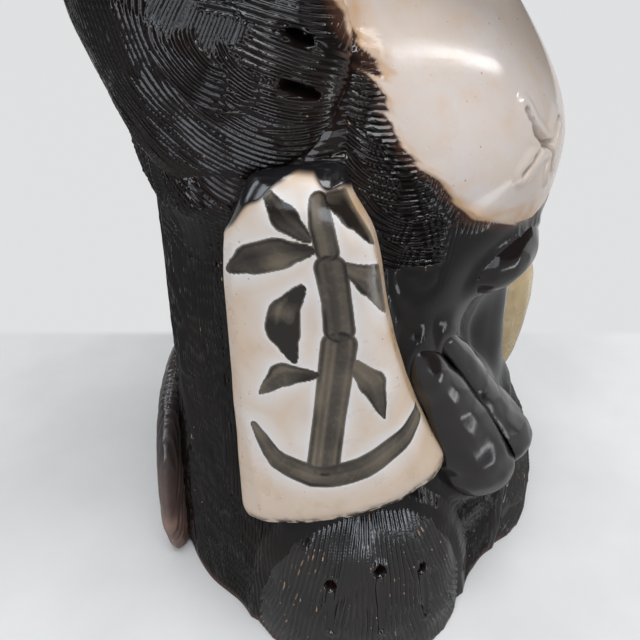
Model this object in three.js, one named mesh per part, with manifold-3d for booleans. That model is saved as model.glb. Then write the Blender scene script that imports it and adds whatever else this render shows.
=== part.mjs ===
// A standing raccoon-dog garden figure in glazed stoneware.
// The trunk and the head are hollow shells pressed in halves.
// The limbs, the hat and what the figure carries are luted on.
// Millimetres, +Z up. The figure stands on Z = 0 and faces -Y, so its right hand is towards -X.
// A "turn" is an angle around the upright axis, in degrees from the front towards the figure's right hand.

import * as THREE from "three";
import { mergeVertices } from "three/addons/utils/BufferGeometryUtils.js";
import Module from "manifold-3d";

const wasm = await Module();
wasm.setup();

const degree = Math.PI / 180;
const quarterTurn = 90;

// Clay
const wallThickness = 9;
const lutingGap = 0.3;

// Trunk: radii at the foot, the waist and the belly, and the neck opening, which lies towards the back
const footRadius = 93;
const footFrontInset = 6;
const footFrontTurn = 35;
const footSideTurn = 80;
const waistInset = 6;
const waistHeight = 118;
const bellyInset = 7;
const neckHeight = 312;
const bellyBelowNeck = 90;
const footFrontRadius = footRadius - footFrontInset;
const waistRadius = footRadius - waistInset;
const bellyRadius = footRadius - bellyInset;
const bellyHeight = neckHeight - bellyBelowNeck;
const neckFrontRadius = 24;
const neckBackRadius = 68;
const chestFullness = 1.5;
const backFullness = 3.6;
const bellyBulge = 4;
const bellyBulgeRise = 14;
const bellyBulgeHeight = bellyHeight + bellyBulgeRise;
const bellySpread = 60;
const bellyReach = 30;

// Hollow under the belly, between the legs
const crotchDepth = 26;
const crotchHeight = 135;
const crotchSpread = 34;
const crotchReach = 50;

// Head
const skullWidth = 144;
const skullHeight = 126;
const skullBack = 60;
const skullAboveNeck = 60;
const skullCentreHeight = neckHeight + skullAboveNeck;
const snoutLength = 102;
const snoutWidth = 48;
const snoutDrop = 27;
const cheekFlare = 0.13;
const headSeam = 4;

// Hat
const hatRadius = 102;
const hatHeight = 48;
const hatThickness = 7;
const hatTilt = 25;
const hatSetBack = 14;
const hatSeatDepth = 3;
const hatRows = 8;
const hatRowStep = 1.8;
const hatBrimShare = 0.55;

// Ears, eyes and nose
const earWidth = 38;
const earLength = 52;
const earThickness = 22;
const earSpread = 66;
const earTurn = 62;
const eyeDiameter = 25;
const eyeSpacing = 54;
const eyeRise = 14;
const eyeHeight = skullCentreHeight + eyeRise;
const noseDiameter = 26;

// Arms: thickest at the elbow, whose lower side runs down into the flank.
// The right paw lies on the side of the belly, the left one further back.
const shoulderTurn = 146;
const shoulderDrop = 12;
const shoulderHeight = neckHeight - shoulderDrop;
const shoulderHalfHeight = 30;
const elbowTurn = 106;
const elbowDrop = 29;
const elbowHeight = neckHeight - elbowDrop;
const elbowHalfHeight = 50;
const elbowFall = 80;
const elbowDepth = 48;
const elbowLean = 20;
const wristSag = 8;
const wristHalfHeight = 37;
const wristFall = 50;
const wristDepth = 25;
const rightPawTurn = 54;
const leftPawTurn = 70;
const rightPawDrop = 20;
const leftPawDrop = 57;
const rightPawHeight = elbowHeight - rightPawDrop;
const leftPawHeight = elbowHeight - leftPawDrop;
const pawHalfHeight = 28;
const pawDepth = 21;
const pawBluntness = 0.12;
const armSink = 4;
const armSharpness = 1.15;
const armRows = 17;
const fingerSlitSetBack = 10;
const fingerSlitRise = 4;
const fingerSlitSlope = 0.45;
const fingerSlitLength = 16;
const fingerSlitWidth = 4.2;
const fingerSlitDepth = 7;
const fingerPitch = 14.5;

// Account book: a slab bent to the side of the trunk, wider at the front of its lower end
const bookTurn = 62;
const bookBottom = 72;
const bookBelowPaw = 26;
const bookTop = rightPawHeight - bookBelowPaw;
const bookThickness = 17;
const bookBackReach = 37;
const bookFrontReach = 24;
const bookFlare = 52;
const bookFlarePower = 2.2;
const bookCornerRise = 26;
const bookTopTaper = 13;

// Flask
const flaskTurn = -76;
const flaskBottom = 44;
const flaskBodyRadius = 33;
const flaskFootRadius = 20;
const flaskFootRound = 3;
const flaskNeckRadius = 11;
const flaskBodyHeight = 72;
const flaskShoulderHeight = 116;
const flaskStandOff = 11;
const flaskGrip = 5;
const flaskLip = 8;

// Feet
const footTurn = 49;
const footStandOut = 17;
const footReach = footRadius + footStandOut;
const footHalfWidth = 54;
const footRise = 100;
const footDepth = 46;
const clawSlitLength = 34;
const clawSlitWidth = 5;
const clawSlitDepth = 6;
const clawPitch = 22;
const clawShift = 8;
const clawHeight = 42;

// Tail
const tailTurn = 146;
const tailRise = 116;
const tailHalfWidth = 56;
const tailDepth = 10;
const tailSink = 2;
const tailSwing = 4;

// Money bag, whose two lobes swing towards the left foot, and the knob under the belly
const bagTopTurn = 32;
const bagBottomTurn = -10;
const bagTopPitch = 10;
const bagBottomPitch = 18;
const bagTop = 164;
const bagBottom = 61;
const bagLobeHalfWidth = 24;
const bagLobeDepth = 22;
const knobDrop = 34;
const knobHeight = bellyHeight - knobDrop;
const knobWidth = 62;
const knobThickness = 44;
const knobReach = 7;
const knobTurn = 2;
const knobSwell = 4;
const knobSwellSpread = 24;
const knobSwellReach = 22;

// Facets
const trunkFacets = 40;
const hollowFacets = 28;
const limbFacets = 16;
const footColumns = 22;
const footRows = 14;

const glaze = { color: 0x2b1d16, roughness: 0.25 };
const darkGlaze = { color: 0x1c1715, roughness: 0.18 };
const slip = { color: 0xd9c6b4, roughness: 0.35 };
const ochre = { color: 0x9a8a63, roughness: 0.4 };
const white = { color: 0xe6ded4, roughness: 0.25 };

// Point at a turn, a distance from the axis and a height
function place(turn, radius, height) {
  return new THREE.Vector3(-radius * Math.sin(turn * degree), -radius * Math.cos(turn * degree), height);
}

function blend(from, to, share) {
  return from + (to - from) * share;
}

function bump(offset, spread) {
  return Math.exp(-((offset / spread) ** 2));
}

// Turn brought into the range from -180 to 180
function wrapped(turn) {
  return ((((turn + 180) % 360) + 360) % 360) - 180;
}

// Closed solid through a row of rings; the rings run counter-clockwise seen from the last one
function loft(rings) {
  const count = rings[0].length;
  const points = rings.flat();
  const middle = (ring) => ring.reduce((sum, p) => sum.add(p), new THREE.Vector3()).divideScalar(count);
  const start = points.length;
  const end = start + 1;
  points.push(middle(rings[0]), middle(rings.at(-1)));
  const lastRing = (rings.length - 1) * count;
  const faces = [];
  for (let j = 0; j < count; j++) {
    const next = (j + 1) % count;
    for (let row = 0; row < lastRing; row += count) {
      faces.push(row + j, row + next, row + count + next);
      faces.push(row + j, row + count + next, row + count + j);
    }
    faces.push(start, next, j);
    faces.push(end, lastRing + j, lastRing + next);
  }
  const geometry = new THREE.BufferGeometry().setFromPoints(points);
  geometry.setIndex(faces);
  return solid(geometry);
}

function solid(geometry) {
  const bare = geometry.clone();
  bare.deleteAttribute("normal");
  bare.deleteAttribute("uv");
  const welded = mergeVertices(bare, 1e-4);
  const mesh = new wasm.Mesh({
    numProp: 3,
    vertProperties: new Float32Array(welded.attributes.position.array),
    triVerts: new Uint32Array(welded.index.array),
  });
  return new wasm.Manifold(mesh);
}

function ellipsoid(size, frame, columns = 16, rows = 10) {
  const ball = new THREE.SphereGeometry(0.5, columns, rows);
  ball.scale(size.x, size.y, size.z);
  ball.applyMatrix4(frame);
  return solid(ball);
}

// Frame at a point whose local X runs along the surface, Y outwards and Z up
function frameAt(point, outward, up = new THREE.Vector3(0, 0, 1)) {
  const across = new THREE.Vector3().crossVectors(outward, up).normalize();
  const rise = new THREE.Vector3().crossVectors(across, outward).normalize();
  return new THREE.Matrix4().makeBasis(across, outward, rise).setPosition(point);
}

// Point of a form that is met first on the way in towards a middle point, from far out in a direction
function firstHit(form, middle, direction) {
  const inward = direction.clone().normalize().negate();
  const start = middle.clone().addScaledVector(inward, -2 * (neckHeight + skullHeight));
  const skin = new THREE.Mesh(geometryOf(form), new THREE.MeshStandardMaterial());
  return new THREE.Raycaster(start, inward).intersectObject(skin)[0].point;
}

// Outermost point of a form at a turn and a height
function outermost(form, turn, height) {
  return firstHit(form, new THREE.Vector3(0, 0, height), place(turn, 1, 0));
}

// Outer radius of the trunk
function bodyRadius(turn, height) {
  const side = wrapped(turn);
  const z = Math.min(Math.max(height, 0), neckHeight);
  const back = (1 - Math.cos(side * degree)) / 2;
  const neck = blend(neckFrontRadius, neckBackRadius, back);
  const fullness = blend(chestFullness, backFullness, back);
  const sideways = THREE.MathUtils.smoothstep(Math.abs(side), footFrontTurn, footSideTurn);
  const foot = blend(footFrontRadius, footRadius, sideways);
  let radius;
  if (z < waistHeight) {
    radius = blend(foot, waistRadius, THREE.MathUtils.smoothstep(z, 0, waistHeight));
  } else if (z < bellyHeight) {
    radius = blend(waistRadius, bellyRadius, THREE.MathUtils.smoothstep(z, waistHeight, bellyHeight));
  } else {
    const share = (z - bellyHeight) / (neckHeight - bellyHeight);
    radius = blend(bellyRadius, neck, share ** fullness);
  }
  const bulge = bellyBulge * bump(side, bellySpread) * bump(z - bellyBulgeHeight, bellyReach);
  const hollow = crotchDepth * bump(side, crotchSpread) * bump(z - crotchHeight, crotchReach);
  const swell = knobSwell * bump(side - knobTurn, knobSwellSpread) * bump(z - knobHeight, knobSwellReach);
  return radius + bulge + swell - hollow;
}

function bodyRing(height, radiusAt, facets = trunkFacets) {
  const ring = [];
  for (let j = 0; j < facets; j++) {
    const turn = (-360 * j) / facets;
    ring.push(place(turn, radiusAt(turn), height));
  }
  return ring;
}

function bodyForm(grow) {
  const rows = 22;
  const rings = [];
  for (let i = 0; i <= rows; i++) {
    const height = blend(-grow, neckHeight + grow, i / rows);
    rings.push(bodyRing(height, (turn) => bodyRadius(turn, height) + grow));
  }
  return loft(rings);
}

// Inside of the trunk, open through the base and through the neck
function bodyHollow() {
  const rows = 13;
  const rings = [];
  const narrowest = (turn, z) => Math.min(bodyRadius(turn, z), bodyRadius(turn, z + wallThickness));
  const inside = (turn, z) => narrowest(turn, z) - wallThickness;
  for (let i = 0; i <= rows; i++) {
    const height = blend(-wallThickness, neckHeight + wallThickness, i / rows);
    rings.push(bodyRing(height, (turn) => inside(turn, height), hollowFacets));
  }
  return loft(rings);
}

// Head: sections from the back of the skull to the tip of the snout.
// Each has its place along Y, a half-width, a half-height and the height of its centre.
function headSections() {
  const width = skullWidth / 2;
  const height = skullHeight / 2;
  const snout = snoutWidth / 2;
  const low = skullCentreHeight - snoutDrop;
  return [
    [skullBack, 0.06 * width, 0.06 * height, skullCentreHeight],
    [skullBack * 0.9, 0.46 * width, 0.46 * height, skullCentreHeight],
    [skullBack * 0.62, 0.8 * width, 0.8 * height, skullCentreHeight],
    [skullBack * 0.2, 0.99 * width, 0.99 * height, skullCentreHeight],
    [-skullBack * 0.25, width, 0.99 * height, skullCentreHeight - 1],
    [-skullBack * 0.66, 0.84 * width, 0.84 * height, blend(skullCentreHeight, low, 0.3)],
    [
      -blend(skullBack, snoutLength, 0.1),
      blend(snout, width, 0.4),
      blend(snout, height, 0.4),
      blend(skullCentreHeight, low, 0.7),
    ],
    [-blend(skullBack, snoutLength, 0.45), 1.12 * snout, 1.12 * snout, low],
    [-blend(skullBack, snoutLength, 0.8), 0.9 * snout, 0.9 * snout, low + 1],
    [-blend(skullBack, snoutLength, 0.95), 0.6 * snout, 0.6 * snout, low + 1],
    [-snoutLength, 0.12 * snout, 0.12 * snout, low + 1],
  ];
}

function skullForm(grow, facets = 26) {
  const sections = headSections();
  const last = sections.length - 1;
  const rings = sections.map(([y, halfWidth, halfHeight, centre], i) => {
    const ring = [];
    const shift = i === 0 ? grow : i === last ? -grow : 0;
    for (let j = 0; j < facets; j++) {
      const angle = (2 * Math.PI * j) / facets;
      const cheek = 1 - cheekFlare * Math.sin(angle);
      const x = Math.max(halfWidth * cheek + grow, 0.5) * Math.cos(angle);
      const z = Math.max(halfHeight + grow, 0.5) * Math.sin(angle);
      ring.push(new THREE.Vector3(x, y + shift, centre + z));
    }
    return ring;
  });
  return loft(rings);
}

// Collar from the neck opening of the trunk up into the skull
function collarForm(grow, bottom, facets) {
  const top = skullCentreHeight - skullHeight * 0.2;
  const upper = Math.min(skullWidth, skullHeight) * 0.34;
  const rows = 3;
  const rings = [];
  for (let i = 0; i <= rows; i++) {
    const share = i / rows;
    const radiusAt = (turn) => blend(bodyRadius(turn, neckHeight), upper, share) + grow;
    rings.push(bodyRing(blend(bottom, top, share), radiusAt, facets));
  }
  return loft(rings);
}

function headForm(grow, bottom) {
  return skullForm(grow).add(collarForm(grow, bottom, trunkFacets));
}

function headHollow() {
  const throat = collarForm(-wallThickness, neckHeight - wallThickness, 20);
  return skullForm(-wallThickness, 16).add(throat);
}

// Limb laid on the trunk. Each station has a turn, a distance out of the surface, a height, a half-size
// along the surface, a half-size outwards, an angle by which it leans up and the fall of its lower side.
// Sections of an upright limb are level; those of a limb around the trunk stand in planes through the axis.
function limb(stations, upright, grow, rows = 14, startRound = 0.24, endRound = startRound) {
  const vectors = (pick) => new THREE.CatmullRomCurve3(stations.map((s) => new THREE.Vector3(...pick(s))));
  const path = vectors((s) => [s.turn, s.out, s.height]);
  const sizes = vectors((s) => [s.along, s.outward, s.fall ?? s.along]);
  const leans = vectors((s) => [s.lean ?? 0, s.sharpness ?? 1, 0]);
  const up = new THREE.Vector3(0, 0, 1);
  const rings = [];
  for (let i = 0; i <= rows; i++) {
    const t = blend(0.01, 0.99, (1 - Math.cos((Math.PI * i) / rows)) / 2);
    const toEnd = Math.min(1, t / startRound, (1 - t) / endRound);
    const rounding = Math.sqrt(1 - (1 - toEnd) ** 2);
    const spot = path.getPoint(t);
    const size = sizes.getPoint(t).multiplyScalar(rounding).addScalar(grow);
    const tilt = leans.getPoint(t);
    const centre = place(spot.x, bodyRadius(spot.x, spot.z) + spot.y, spot.z);
    const radial = place(spot.x, 1, 0);
    const hinge = new THREE.Vector3().crossVectors(radial, up);
    const outward = radial.clone().applyAxisAngle(hinge, upright ? 0 : tilt.x * degree);
    const side = upright ? hinge.clone().negate() : up.clone().applyAxisAngle(hinge, tilt.x * degree);
    const ring = [];
    for (let j = 0; j < limbFacets; j++) {
      const angle = (2 * Math.PI * j) / limbFacets;
      const cos = Math.cos(angle);
      const sin = Math.sin(angle);
      const lower = !upright && sin < 0;
      const sharpness = lower ? tilt.y : 1;
      const point = centre.clone();
      point.addScaledVector(outward, size.y * Math.sign(cos) * Math.abs(cos) ** sharpness);
      const reach = (lower ? size.z : size.x) * Math.sign(sin) * Math.abs(sin) ** sharpness;
      point.addScaledVector(lower ? up : side, reach);
      ring.push(point);
    }
    rings.push(ring);
  }
  const form = loft(rings);
  return form.volume() > 0 ? form : loft(rings.reverse());
}

function pawTurn(side) {
  return side > 0 ? rightPawTurn : leftPawTurn;
}

function pawHeight(side) {
  return side > 0 ? rightPawHeight : leftPawHeight;
}

// Place between two stations of a limb
function between(from, to, share) {
  return { turn: blend(from.turn, to.turn, share), height: blend(from.height, to.height, share) };
}

// Side is 1 for the figure's right and -1 for its left
function armForm(side, grow) {
  const shoulder = { turn: shoulderTurn, height: shoulderHeight };
  const elbow = { turn: elbowTurn, height: elbowHeight };
  const paw = { turn: pawTurn(side), height: pawHeight(side) };
  const upper = between(shoulder, elbow, 0.55);
  const wrist = between(elbow, paw, 0.47);
  wrist.height -= wristSag;
  const thick = { along: elbowHalfHeight, outward: elbowDepth, lean: elbowLean };
  const falling = { fall: elbowFall, sharpness: armSharpness };
  const stations = [
    { ...shoulder, out: -3 * armSink, along: shoulderHalfHeight, outward: elbowDepth * 0.7 },
    { ...upper, ...thick, ...falling, out: -2 * armSink, fall: elbowFall * 0.85 },
    { ...elbow, ...thick, ...falling, out: -armSink },
    { ...wrist, out: 0, along: wristHalfHeight, outward: wristDepth, lean: elbowLean / 2, fall: wristFall },
    { ...paw, out: -armSink, along: pawHalfHeight, outward: pawDepth },
  ];
  for (const station of stations) {
    station.turn *= side;
  }
  return limb(stations, false, grow, armRows, undefined, pawBluntness);
}

// Narrow cut centred on a point of a surface, long in the direction "along"
function slit(point, outward, along, length, width, depth) {
  return ellipsoid(new THREE.Vector3(width, 2 * depth, length), frameAt(point, outward, along), 8, 6);
}

// Two short cuts that part the three fingers
function fingerSlits(side) {
  const turn = side * (pawTurn(side) + fingerSlitSetBack);
  const around = place(turn + side * quarterTurn, 1, 0).setZ(fingerSlitSlope);
  const cuts = [-0.5, 0.5].map((step) => {
    const height = pawHeight(side) + fingerSlitRise + step * fingerPitch;
    const point = outermost(armForm(side, 0), turn, height);
    return slit(point, place(turn, 1, 0), around, fingerSlitLength, fingerSlitWidth, fingerSlitDepth);
  });
  return cuts[0].add(cuts[1]);
}

// Sections of the book from the bottom up; each runs along the outer face and back along the trunk
function bookForm(grow) {
  const rows = 12;
  const columns = 8;
  const around = waistRadius + bookThickness;
  const rings = [];
  for (let i = 0; i <= rows; i++) {
    const share = (1 - Math.cos((Math.PI * i) / rows)) / 2;
    const fall = Math.max(1 - Math.abs(2 * share - 1) ** 12, 0.01) ** 0.35;
    const taper = bookTopTaper * THREE.MathUtils.smoothstep(share, 0.8, 1);
    const front = bookFrontReach + bookFlare * (1 - share) ** bookFlarePower - taper;
    const outer = [];
    const inner = [];
    for (let j = 0; j <= columns; j++) {
      const u = -Math.cos((Math.PI * j) / columns);
      const bottom = bookBottom + (bookCornerRise * (u + 1)) / 2 - grow;
      const height = blend(bottom, bookTop + grow, share);
      const reach = blend(taper - bookBackReach, front, (u + 1) / 2) + u * grow;
      const turn = bookTurn - reach / around / degree;
      const rounded = Math.max(1 - Math.abs(u) ** 8, 0.03) ** 0.4;
      outer.push(place(turn, bodyRadius(turn, height) + bookThickness * rounded * fall + grow, height));
      inner.unshift(place(turn, bodyRadius(turn, height) - wallThickness / 2, height));
    }
    rings.push([...outer, ...inner]);
  }
  return loft(rings);
}

// Flask: a bottle with a long neck that runs up into the left paw
function flaskForm(grow) {
  const top = leftPawHeight - pawHalfHeight + flaskGrip - flaskBottom;
  const outline = new THREE.SplineCurve([
    new THREE.Vector2(flaskFootRadius, flaskFootRound),
    new THREE.Vector2(blend(flaskFootRadius, flaskBodyRadius, 0.72), flaskBodyHeight * 0.42),
    new THREE.Vector2(flaskBodyRadius, flaskBodyHeight),
    new THREE.Vector2(
      blend(flaskBodyRadius, flaskNeckRadius, 0.28),
      blend(flaskBodyHeight, flaskShoulderHeight, 0.55),
    ),
    new THREE.Vector2(flaskNeckRadius * 1.12, flaskShoulderHeight),
    new THREE.Vector2(flaskNeckRadius, blend(flaskShoulderHeight, top, 0.5)),
  ]);
  const side = outline.getPoints(11).map((p) => new THREE.Vector2(p.x + grow, p.y));
  const profile = [
    new THREE.Vector2(0, -grow),
    new THREE.Vector2(flaskFootRadius - flaskFootRound + grow, -grow),
    ...side,
    new THREE.Vector2(flaskNeckRadius + grow, top - flaskLip - grow),
    new THREE.Vector2(flaskNeckRadius + flaskLip / 2 + grow, top - flaskLip / 2),
    new THREE.Vector2(flaskNeckRadius + flaskLip / 2 + grow, top),
    new THREE.Vector2(0, top),
  ];
  const bottle = new THREE.LatheGeometry(profile, 20);
  bottle.rotateX(Math.PI / 2);
  const bodyAt = flaskBottom + flaskBodyHeight;
  const middle = place(flaskTurn, bodyRadius(flaskTurn, bodyAt) + flaskStandOff, flaskBottom);
  bottle.translate(middle.x, middle.y, middle.z);
  return solid(bottle);
}

function footForm(side, grow) {
  const turn = side * footTurn;
  const middle = place(turn, footReach - footDepth, 0);
  const size = new THREE.Vector3(footHalfWidth, footDepth, footRise).addScalar(grow).multiplyScalar(2);
  return ellipsoid(size, frameAt(middle, place(turn, 1, 0)), footColumns, footRows);
}

// Three cuts that part the claws, each running down the front of the foot
function clawSlits(side) {
  const turn = side * footTurn;
  const outward = place(turn, 1, 0);
  const across = place(turn + quarterTurn, 1, 0);
  const cuts = [-1, 0, 1].map((step) => {
    const offset = side * (step * clawPitch - clawShift);
    const bulge = footDepth * Math.sqrt(1 - (offset / footHalfWidth) ** 2 - (clawHeight / footRise) ** 2);
    const point = place(turn, footReach - footDepth + bulge, clawHeight).addScaledVector(across, offset);
    const normal = outward.clone().multiplyScalar(bulge / footDepth ** 2);
    normal.addScaledVector(across, offset / footHalfWidth ** 2);
    normal.z = clawHeight / footRise ** 2;
    const up = new THREE.Vector3(0, 0, 1);
    return slit(point, normal.normalize(), up, clawSlitLength, clawSlitWidth, clawSlitDepth);
  });
  return cuts[0].add(cuts[1]).add(cuts[2]);
}

function tailForm(grow) {
  const flat = { out: -tailSink, outward: tailDepth };
  const tip = { turn: tailTurn + 2.5 * tailSwing, height: tailRise, out: -tailDepth * 0.6 };
  const stations = [
    { ...flat, turn: tailTurn - tailSwing, height: -tailRise * 0.2, along: tailHalfWidth * 0.8 },
    { ...flat, turn: tailTurn, height: tailRise * 0.32, along: tailHalfWidth },
    { ...flat, turn: tailTurn + tailSwing, height: tailRise * 0.7, along: tailHalfWidth * 0.86 },
    { ...flat, ...tip, along: tailHalfWidth * 0.5 },
  ];
  return limb(stations, true, grow, 12);
}

function bagLobeForm(side, grow) {
  const shares = [
    { share: 0, out: -2, wide: 0.95, deep: 0.8 },
    { share: 0.3, out: 1, wide: 1, deep: 1 },
    { share: 0.65, out: 1, wide: 0.68, deep: 0.7 },
    { share: 1, out: -2, wide: 0.36, deep: 0.4 },
  ];
  const stations = shares.map(({ share, out, wide, deep }) => ({
    turn: blend(bagBottomTurn, bagTopTurn, share) + (side * blend(bagBottomPitch, bagTopPitch, share)) / 2,
    height: blend(bagBottom, bagTop, share),
    out,
    along: bagLobeHalfWidth * wide,
    outward: bagLobeDepth * deep,
  }));
  return limb(stations, true, grow, 12, 0.3);
}

function knobForm(grow) {
  const sunk = knobThickness / 2;
  const middle = place(knobTurn, bodyRadius(knobTurn, knobHeight) - sunk, knobHeight);
  const size = new THREE.Vector3(knobWidth, 2 * (knobReach + sunk), knobThickness);
  size.addScalar(2 * grow);
  return ellipsoid(size, frameAt(middle, place(knobTurn, 1, 0)), 16, 10);
}

// Point of the head's outside in a direction from the middle of the skull
function onHead(direction) {
  return firstHit(skullForm(0), new THREE.Vector3(0, 0, skullCentreHeight), direction);
}

function hatAxis() {
  return new THREE.Vector3(0, Math.sin(hatTilt * degree), Math.cos(hatTilt * degree));
}

// Height of the underside of the hat above its brim, at a distance from the hat's axis
function hatUnderside(distance) {
  return (hatHeight - hatThickness) * (1 - distance / hatRadius);
}

// Middle of the brim, where the cone comes down onto the head
function hatPlace() {
  const axis = hatAxis();
  const start = new THREE.Vector3(0, hatSetBack, skullCentreHeight);
  const spots = skullForm(0).getMesh().vertProperties;
  let seat = -Infinity;
  for (let i = 0; i < spots.length; i += 3) {
    const spot = new THREE.Vector3(spots[i], spots[i + 1], spots[i + 2]).sub(start);
    const along = spot.dot(axis);
    const distance = spot.addScaledVector(axis, -along).length();
    if (distance < hatRadius) {
      seat = Math.max(seat, along - hatUnderside(distance));
    }
  }
  return start.addScaledVector(axis, seat - hatSeatDepth);
}

// Outside of the hat from the brim up: rows of plaited straw, each lapping over the row below it
function strawRows(grow) {
  const brim = hatThickness * hatBrimShare;
  const rows = [];
  for (let row = 0; row < hatRows; row++) {
    const low = row / hatRows;
    const high = (row + 1) / hatRows;
    const bottom = blend(brim, hatHeight, low) + (row > 0 ? hatRowStep / 2 : 0);
    const top = blend(brim, hatHeight, high) - hatRowStep / 2;
    rows.push(new THREE.Vector2(hatRadius * (1 - low) + grow, bottom + grow));
    if (row < hatRows - 1) {
      rows.push(new THREE.Vector2(hatRadius * (1 - high) + grow, top + grow));
    }
  }
  return rows;
}

function hatForm(grow) {
  const profile = [
    new THREE.Vector2(0, hatHeight - hatThickness - grow),
    new THREE.Vector2(hatRadius * 0.5, hatUnderside(hatRadius * 0.5) - grow),
    new THREE.Vector2(hatRadius + grow, -grow),
    ...strawRows(grow),
    new THREE.Vector2(0, hatHeight + grow),
  ];
  const cone = new THREE.LatheGeometry(profile, 36);
  cone.rotateX(Math.PI / 2);
  cone.rotateX(-hatTilt * degree);
  const middle = hatPlace();
  cone.translate(middle.x, middle.y, middle.z);
  return solid(cone);
}

function earForm(side, grow) {
  const lean = new THREE.Vector3(-side * Math.sin(earSpread * degree), -0.12, Math.cos(earSpread * degree));
  const root = onHead(lean);
  const outward = place(side * earTurn, 1, 0).setZ(0.2);
  outward.addScaledVector(lean, -outward.dot(lean) / lean.lengthSq()).normalize();
  const size = new THREE.Vector3(earWidth, earThickness, earLength).addScalar(2 * grow);
  const frame = frameAt(root, outward, lean);
  const ear = ellipsoid(size, frame, 14, 8);
  const hollow = new THREE.Matrix4().makeTranslation(0, earThickness * 0.62, earLength * 0.12);
  const dish = frame.clone().multiply(hollow);
  return ear.subtract(ellipsoid(size.clone().multiplyScalar(0.72), dish, 10, 6));
}

function eyeForm(side) {
  const toEye = new THREE.Vector3((-side * eyeSpacing) / 2, -skullBack, eyeHeight - skullCentreHeight);
  const spot = onHead(toEye);
  const size = new THREE.Vector3(eyeDiameter, eyeDiameter * 0.62, eyeDiameter);
  return ellipsoid(size, frameAt(spot, toEye.normalize()), 12, 8);
}

function noseForm() {
  const tip = onHead(new THREE.Vector3(0, -snoutLength, -snoutDrop + 1));
  const middle = new THREE.Vector3(0, tip.y + 1, tip.z + noseDiameter * 0.2);
  const size = new THREE.Vector3(noseDiameter * 1.15, noseDiameter * 0.8, noseDiameter * 0.86);
  return ellipsoid(size, frameAt(middle, new THREE.Vector3(0, -1, 0)), 12, 8);
}

// Half-spaces for the seams and the floor
function block(size, middle) {
  const box = new THREE.BoxGeometry(size, size, size);
  box.translate(middle.x, middle.y, middle.z);
  return solid(box);
}

function geometryOf(form) {
  const mesh = form.getMesh();
  const geometry = new THREE.BufferGeometry();
  geometry.setAttribute("position", new THREE.BufferAttribute(new Float32Array(mesh.vertProperties), 3));
  geometry.setIndex(new THREE.BufferAttribute(new Uint32Array(mesh.triVerts), 1));
  return geometry;
}

const group = new THREE.Group();
group.name = "raccoon_dog_figure";

function piece(name, form, surface) {
  const geometry = geometryOf(form);
  geometry.computeVertexNormals();
  const mesh = new THREE.Mesh(geometry, new THREE.MeshStandardMaterial({ metalness: 0, ...surface }));
  mesh.name = name;
  group.add(mesh);
}

const far = 4 * (neckHeight + skullHeight);
const frontHalf = (seam) => block(far, new THREE.Vector3(0, seam - (lutingGap + far) / 2, 0));
const backHalf = (seam) => block(far, new THREE.Vector3(0, seam + (lutingGap + far) / 2, 0));
const underFloor = block(far, new THREE.Vector3(0, 0, -far / 2));

const body = bodyForm(0).subtract(bodyHollow());
const bodyClear = bodyForm(lutingGap);
piece("body_front_shell", body.intersect(frontHalf(0)), glaze);
piece("body_back_shell", body.intersect(backHalf(0)), glaze);

const headBottom = neckHeight + lutingGap;
const head = headForm(0, headBottom).subtract(headHollow()).subtract(bodyClear);
const headClear = headForm(lutingGap, neckHeight);
piece("head_front_shell", head.intersect(frontHalf(headSeam)), glaze);
piece("head_back_shell", head.intersect(backHalf(headSeam)), glaze);

const trunkAndHead = bodyClear.add(headClear);
const hatClear = hatForm(lutingGap);
piece("hat", hatForm(0).subtract(headClear), ochre);
piece("nose", noseForm().subtract(headClear), darkGlaze);

function cutBy(form, neighbours) {
  return neighbours.reduce((rest, neighbour) => rest.subtract(neighbour), form);
}

for (const [side, hand] of [[1, "right"], [-1, "left"]]) {
  piece(`${hand}_ear`, cutBy(earForm(side, 0), [headClear, hatClear]), glaze);
  piece(`${hand}_eye`, cutBy(eyeForm(side), [headClear]), white);
  piece(`${hand}_arm`, cutBy(armForm(side, 0), [trunkAndHead, fingerSlits(side)]), glaze);
  piece(`${hand}_foot`, cutBy(footForm(side, 0), [bodyClear, underFloor, clawSlits(side)]), darkGlaze);
}

const aroundBook = [bodyClear, armForm(1, lutingGap), footForm(1, lutingGap)];
const aroundFlask = [bodyClear, armForm(-1, lutingGap), footForm(-1, lutingGap)];
piece("account_book", cutBy(bookForm(0), aroundBook), slip);
piece("sake_flask", cutBy(flaskForm(0), aroundFlask), ochre);
piece("tail", cutBy(tailForm(0), [bodyClear, underFloor]), glaze);
piece("belly_knob", cutBy(knobForm(0), [bodyClear]), darkGlaze);

const feet = [footForm(1, lutingGap), footForm(-1, lutingGap)];
const aroundBag = [bodyClear, ...feet, knobForm(lutingGap), bookForm(lutingGap)];
piece("money_bag_right", cutBy(bagLobeForm(1, 0), aroundBag), darkGlaze);
piece("money_bag_left", cutBy(bagLobeForm(-1, 0), [...aroundBag, bagLobeForm(1, lutingGap)]), darkGlaze);

// The origin is moved to the middle of the overall box, on the floor
const box = new THREE.Box3().setFromObject(group);
const middle = box.getCenter(new THREE.Vector3());
for (const mesh of group.children) {
  mesh.geometry.translate(-middle.x, -middle.y, 0);
}

export default group;
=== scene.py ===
"""Looks of a glazed clay tanuki statue: combed fur, white belly, account book, flask and hat."""

import math

import bpy
import numpy as np
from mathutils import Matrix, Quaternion, Vector
from mathutils.bvhtree import BVHTree


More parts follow.
